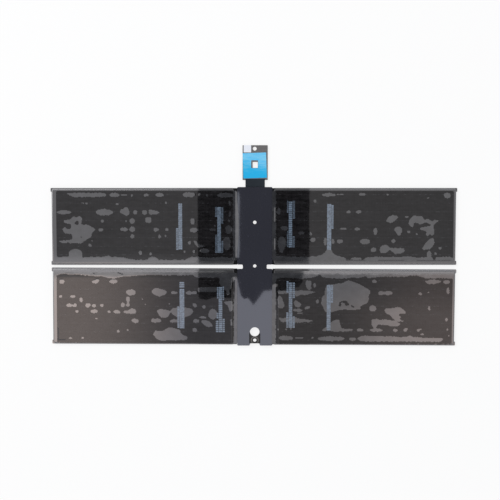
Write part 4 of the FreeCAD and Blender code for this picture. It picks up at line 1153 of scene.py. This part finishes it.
class BATTERY_OT_cells(bpy.types.Operator):
    """Dress the four pouch cells, their tabs and the adhesive on them"""

    bl_idname = "battery.cells"
    bl_label = "Cells"

    def execute(self, context):
        for place in PLACES:
            with_shaded_folds(dressed("cell_" + place, "cell_skin", "pouch", angle=POUCH_DEGREES,
                                    flat_tops=True))
            dressed(f"tab_{place}_positive", "tab_aluminium", "aluminium_tab", 0.02)
            dressed(f"tab_{place}_negative", "tab_nickel", "nickel_tab", 0.02)
            layer = dressed("adhesive_" + place, "adhesive_black", "adhesive")
            for corner in layer.data.vertices:
                end = ADHESIVE_ENDS.get(place, 0.0) * MM
                corner.co.x = math.copysign(max(abs(corner.co.x), end), corner.co.x)
        return {"FINISHED"}


class BATTERY_OT_liners(bpy.types.Operator):
    """Lay the four release liners, stuck down in places and let go in others"""

    bl_idname = "battery.liners"
    bl_label = "Release liners"

    def execute(self, context):
        for place in PLACES:
            liner_piece(place)
        return {"FINISHED"}


class BATTERY_OT_print(bpy.types.Operator):
    """Lay the printed strips over the liners"""

    bl_idname = "battery.print"
    bl_label = "Printed strips"

    def execute(self, context):
        tree = ladder_tree()
        for place in PLACES:
            print_piece(place, tree)
        bpy.data.node_groups.remove(tree)
        return {"FINISHED"}


class BATTERY_OT_column(bpy.types.Operator):
    """Dress the films and the moulding of the centre column"""

    bl_idname = "battery.column"
    bl_label = "Centre column"

    def execute(self, context):
        dressed("front_film", "column_gloss", "column_film")
        dressed("back_film", "back_skin", "column_film")
        dressed("centre_frame", "frame_moulding", "frame_plastic", 0.06)
        return {"FINISHED"}


class BATTERY_OT_board(bpy.types.Operator):
    """Dress the protection board and the parts on it"""

    bl_idname = "battery.board"
    bl_label = "Protection board"

    def execute(self, context):
        dressed("protection_board", "board_mask", "board", 0.03)
        for node in ("charge_transistor", "discharge_transistor", "gauge_chip", "second_protector"):
            dressed(node, "package_moulding", "component", 0.03)
        for node in ("chemical_fuse", "sense_resistor", "thermistor", "capacitor_1", "capacitor_2",
                     "capacitor_3", "capacitor_4"):
            dressed(node, "part_ceramic", "ceramic_component", 0.03)
        return {"FINISHED"}


class BATTERY_OT_tail(bpy.types.Operator):
    """Dress the tail: flexible strip, board, tape, label and socket"""

    bl_idname = "battery.tail"
    bl_label = "Tail"

    def execute(self, context):
        dressed("tail_flex", "flex_cover", "flex", 0.03)
        dressed("tail_board", "tail_mask", "tail_board", 0.05)
        dressed("protective_tape", "blue_film", "blue_tape", 0.01)
        dressed("tail_label", "label_white", "label", 0.01)
        dressed("tail_connector", "socket_moulding", "connector", 0.05)
        for index in range(1, 9):
            dressed(f"connector_contact_{index}", "contact_gold", "contact", 0.02)
        return {"FINISHED"}


class BATTERY_PT_panel(bpy.types.Panel):
    """Sizes, colours and steps of the battery pack"""

    bl_idname = "BATTERY_PT_panel"
    bl_label = "Battery"
    bl_space_type = "VIEW_3D"
    bl_region_type = "UI"
    bl_category = "Battery"

    def draw(self, context):
        column = self.layout.column()
        for name in BatterySettings.__annotations__:
            column.prop(context.scene.battery_settings, name)
        for operator in OPERATORS:
            column.operator(operator.bl_idname)


OPERATORS = (
    BATTERY_OT_stage,
    BATTERY_OT_cells,
    BATTERY_OT_liners,
    BATTERY_OT_print,
    BATTERY_OT_column,
    BATTERY_OT_board,
    BATTERY_OT_tail,
)
CLASSES = (BatterySettings, *OPERATORS, BATTERY_PT_panel)


def register():
    for cls in CLASSES:
        bpy.utils.register_class(cls)
    bpy.types.Scene.battery_settings = PointerProperty(type=BatterySettings)


def unregister():
    del bpy.types.Scene.battery_settings
    for cls in reversed(CLASSES):
        bpy.utils.unregister_class(cls)


def main():
    register()
    for operator in OPERATORS:
        group, name = operator.bl_idname.split(".")
        getattr(getattr(bpy.ops, group), name)()


if __name__ == "__main__":
    main()
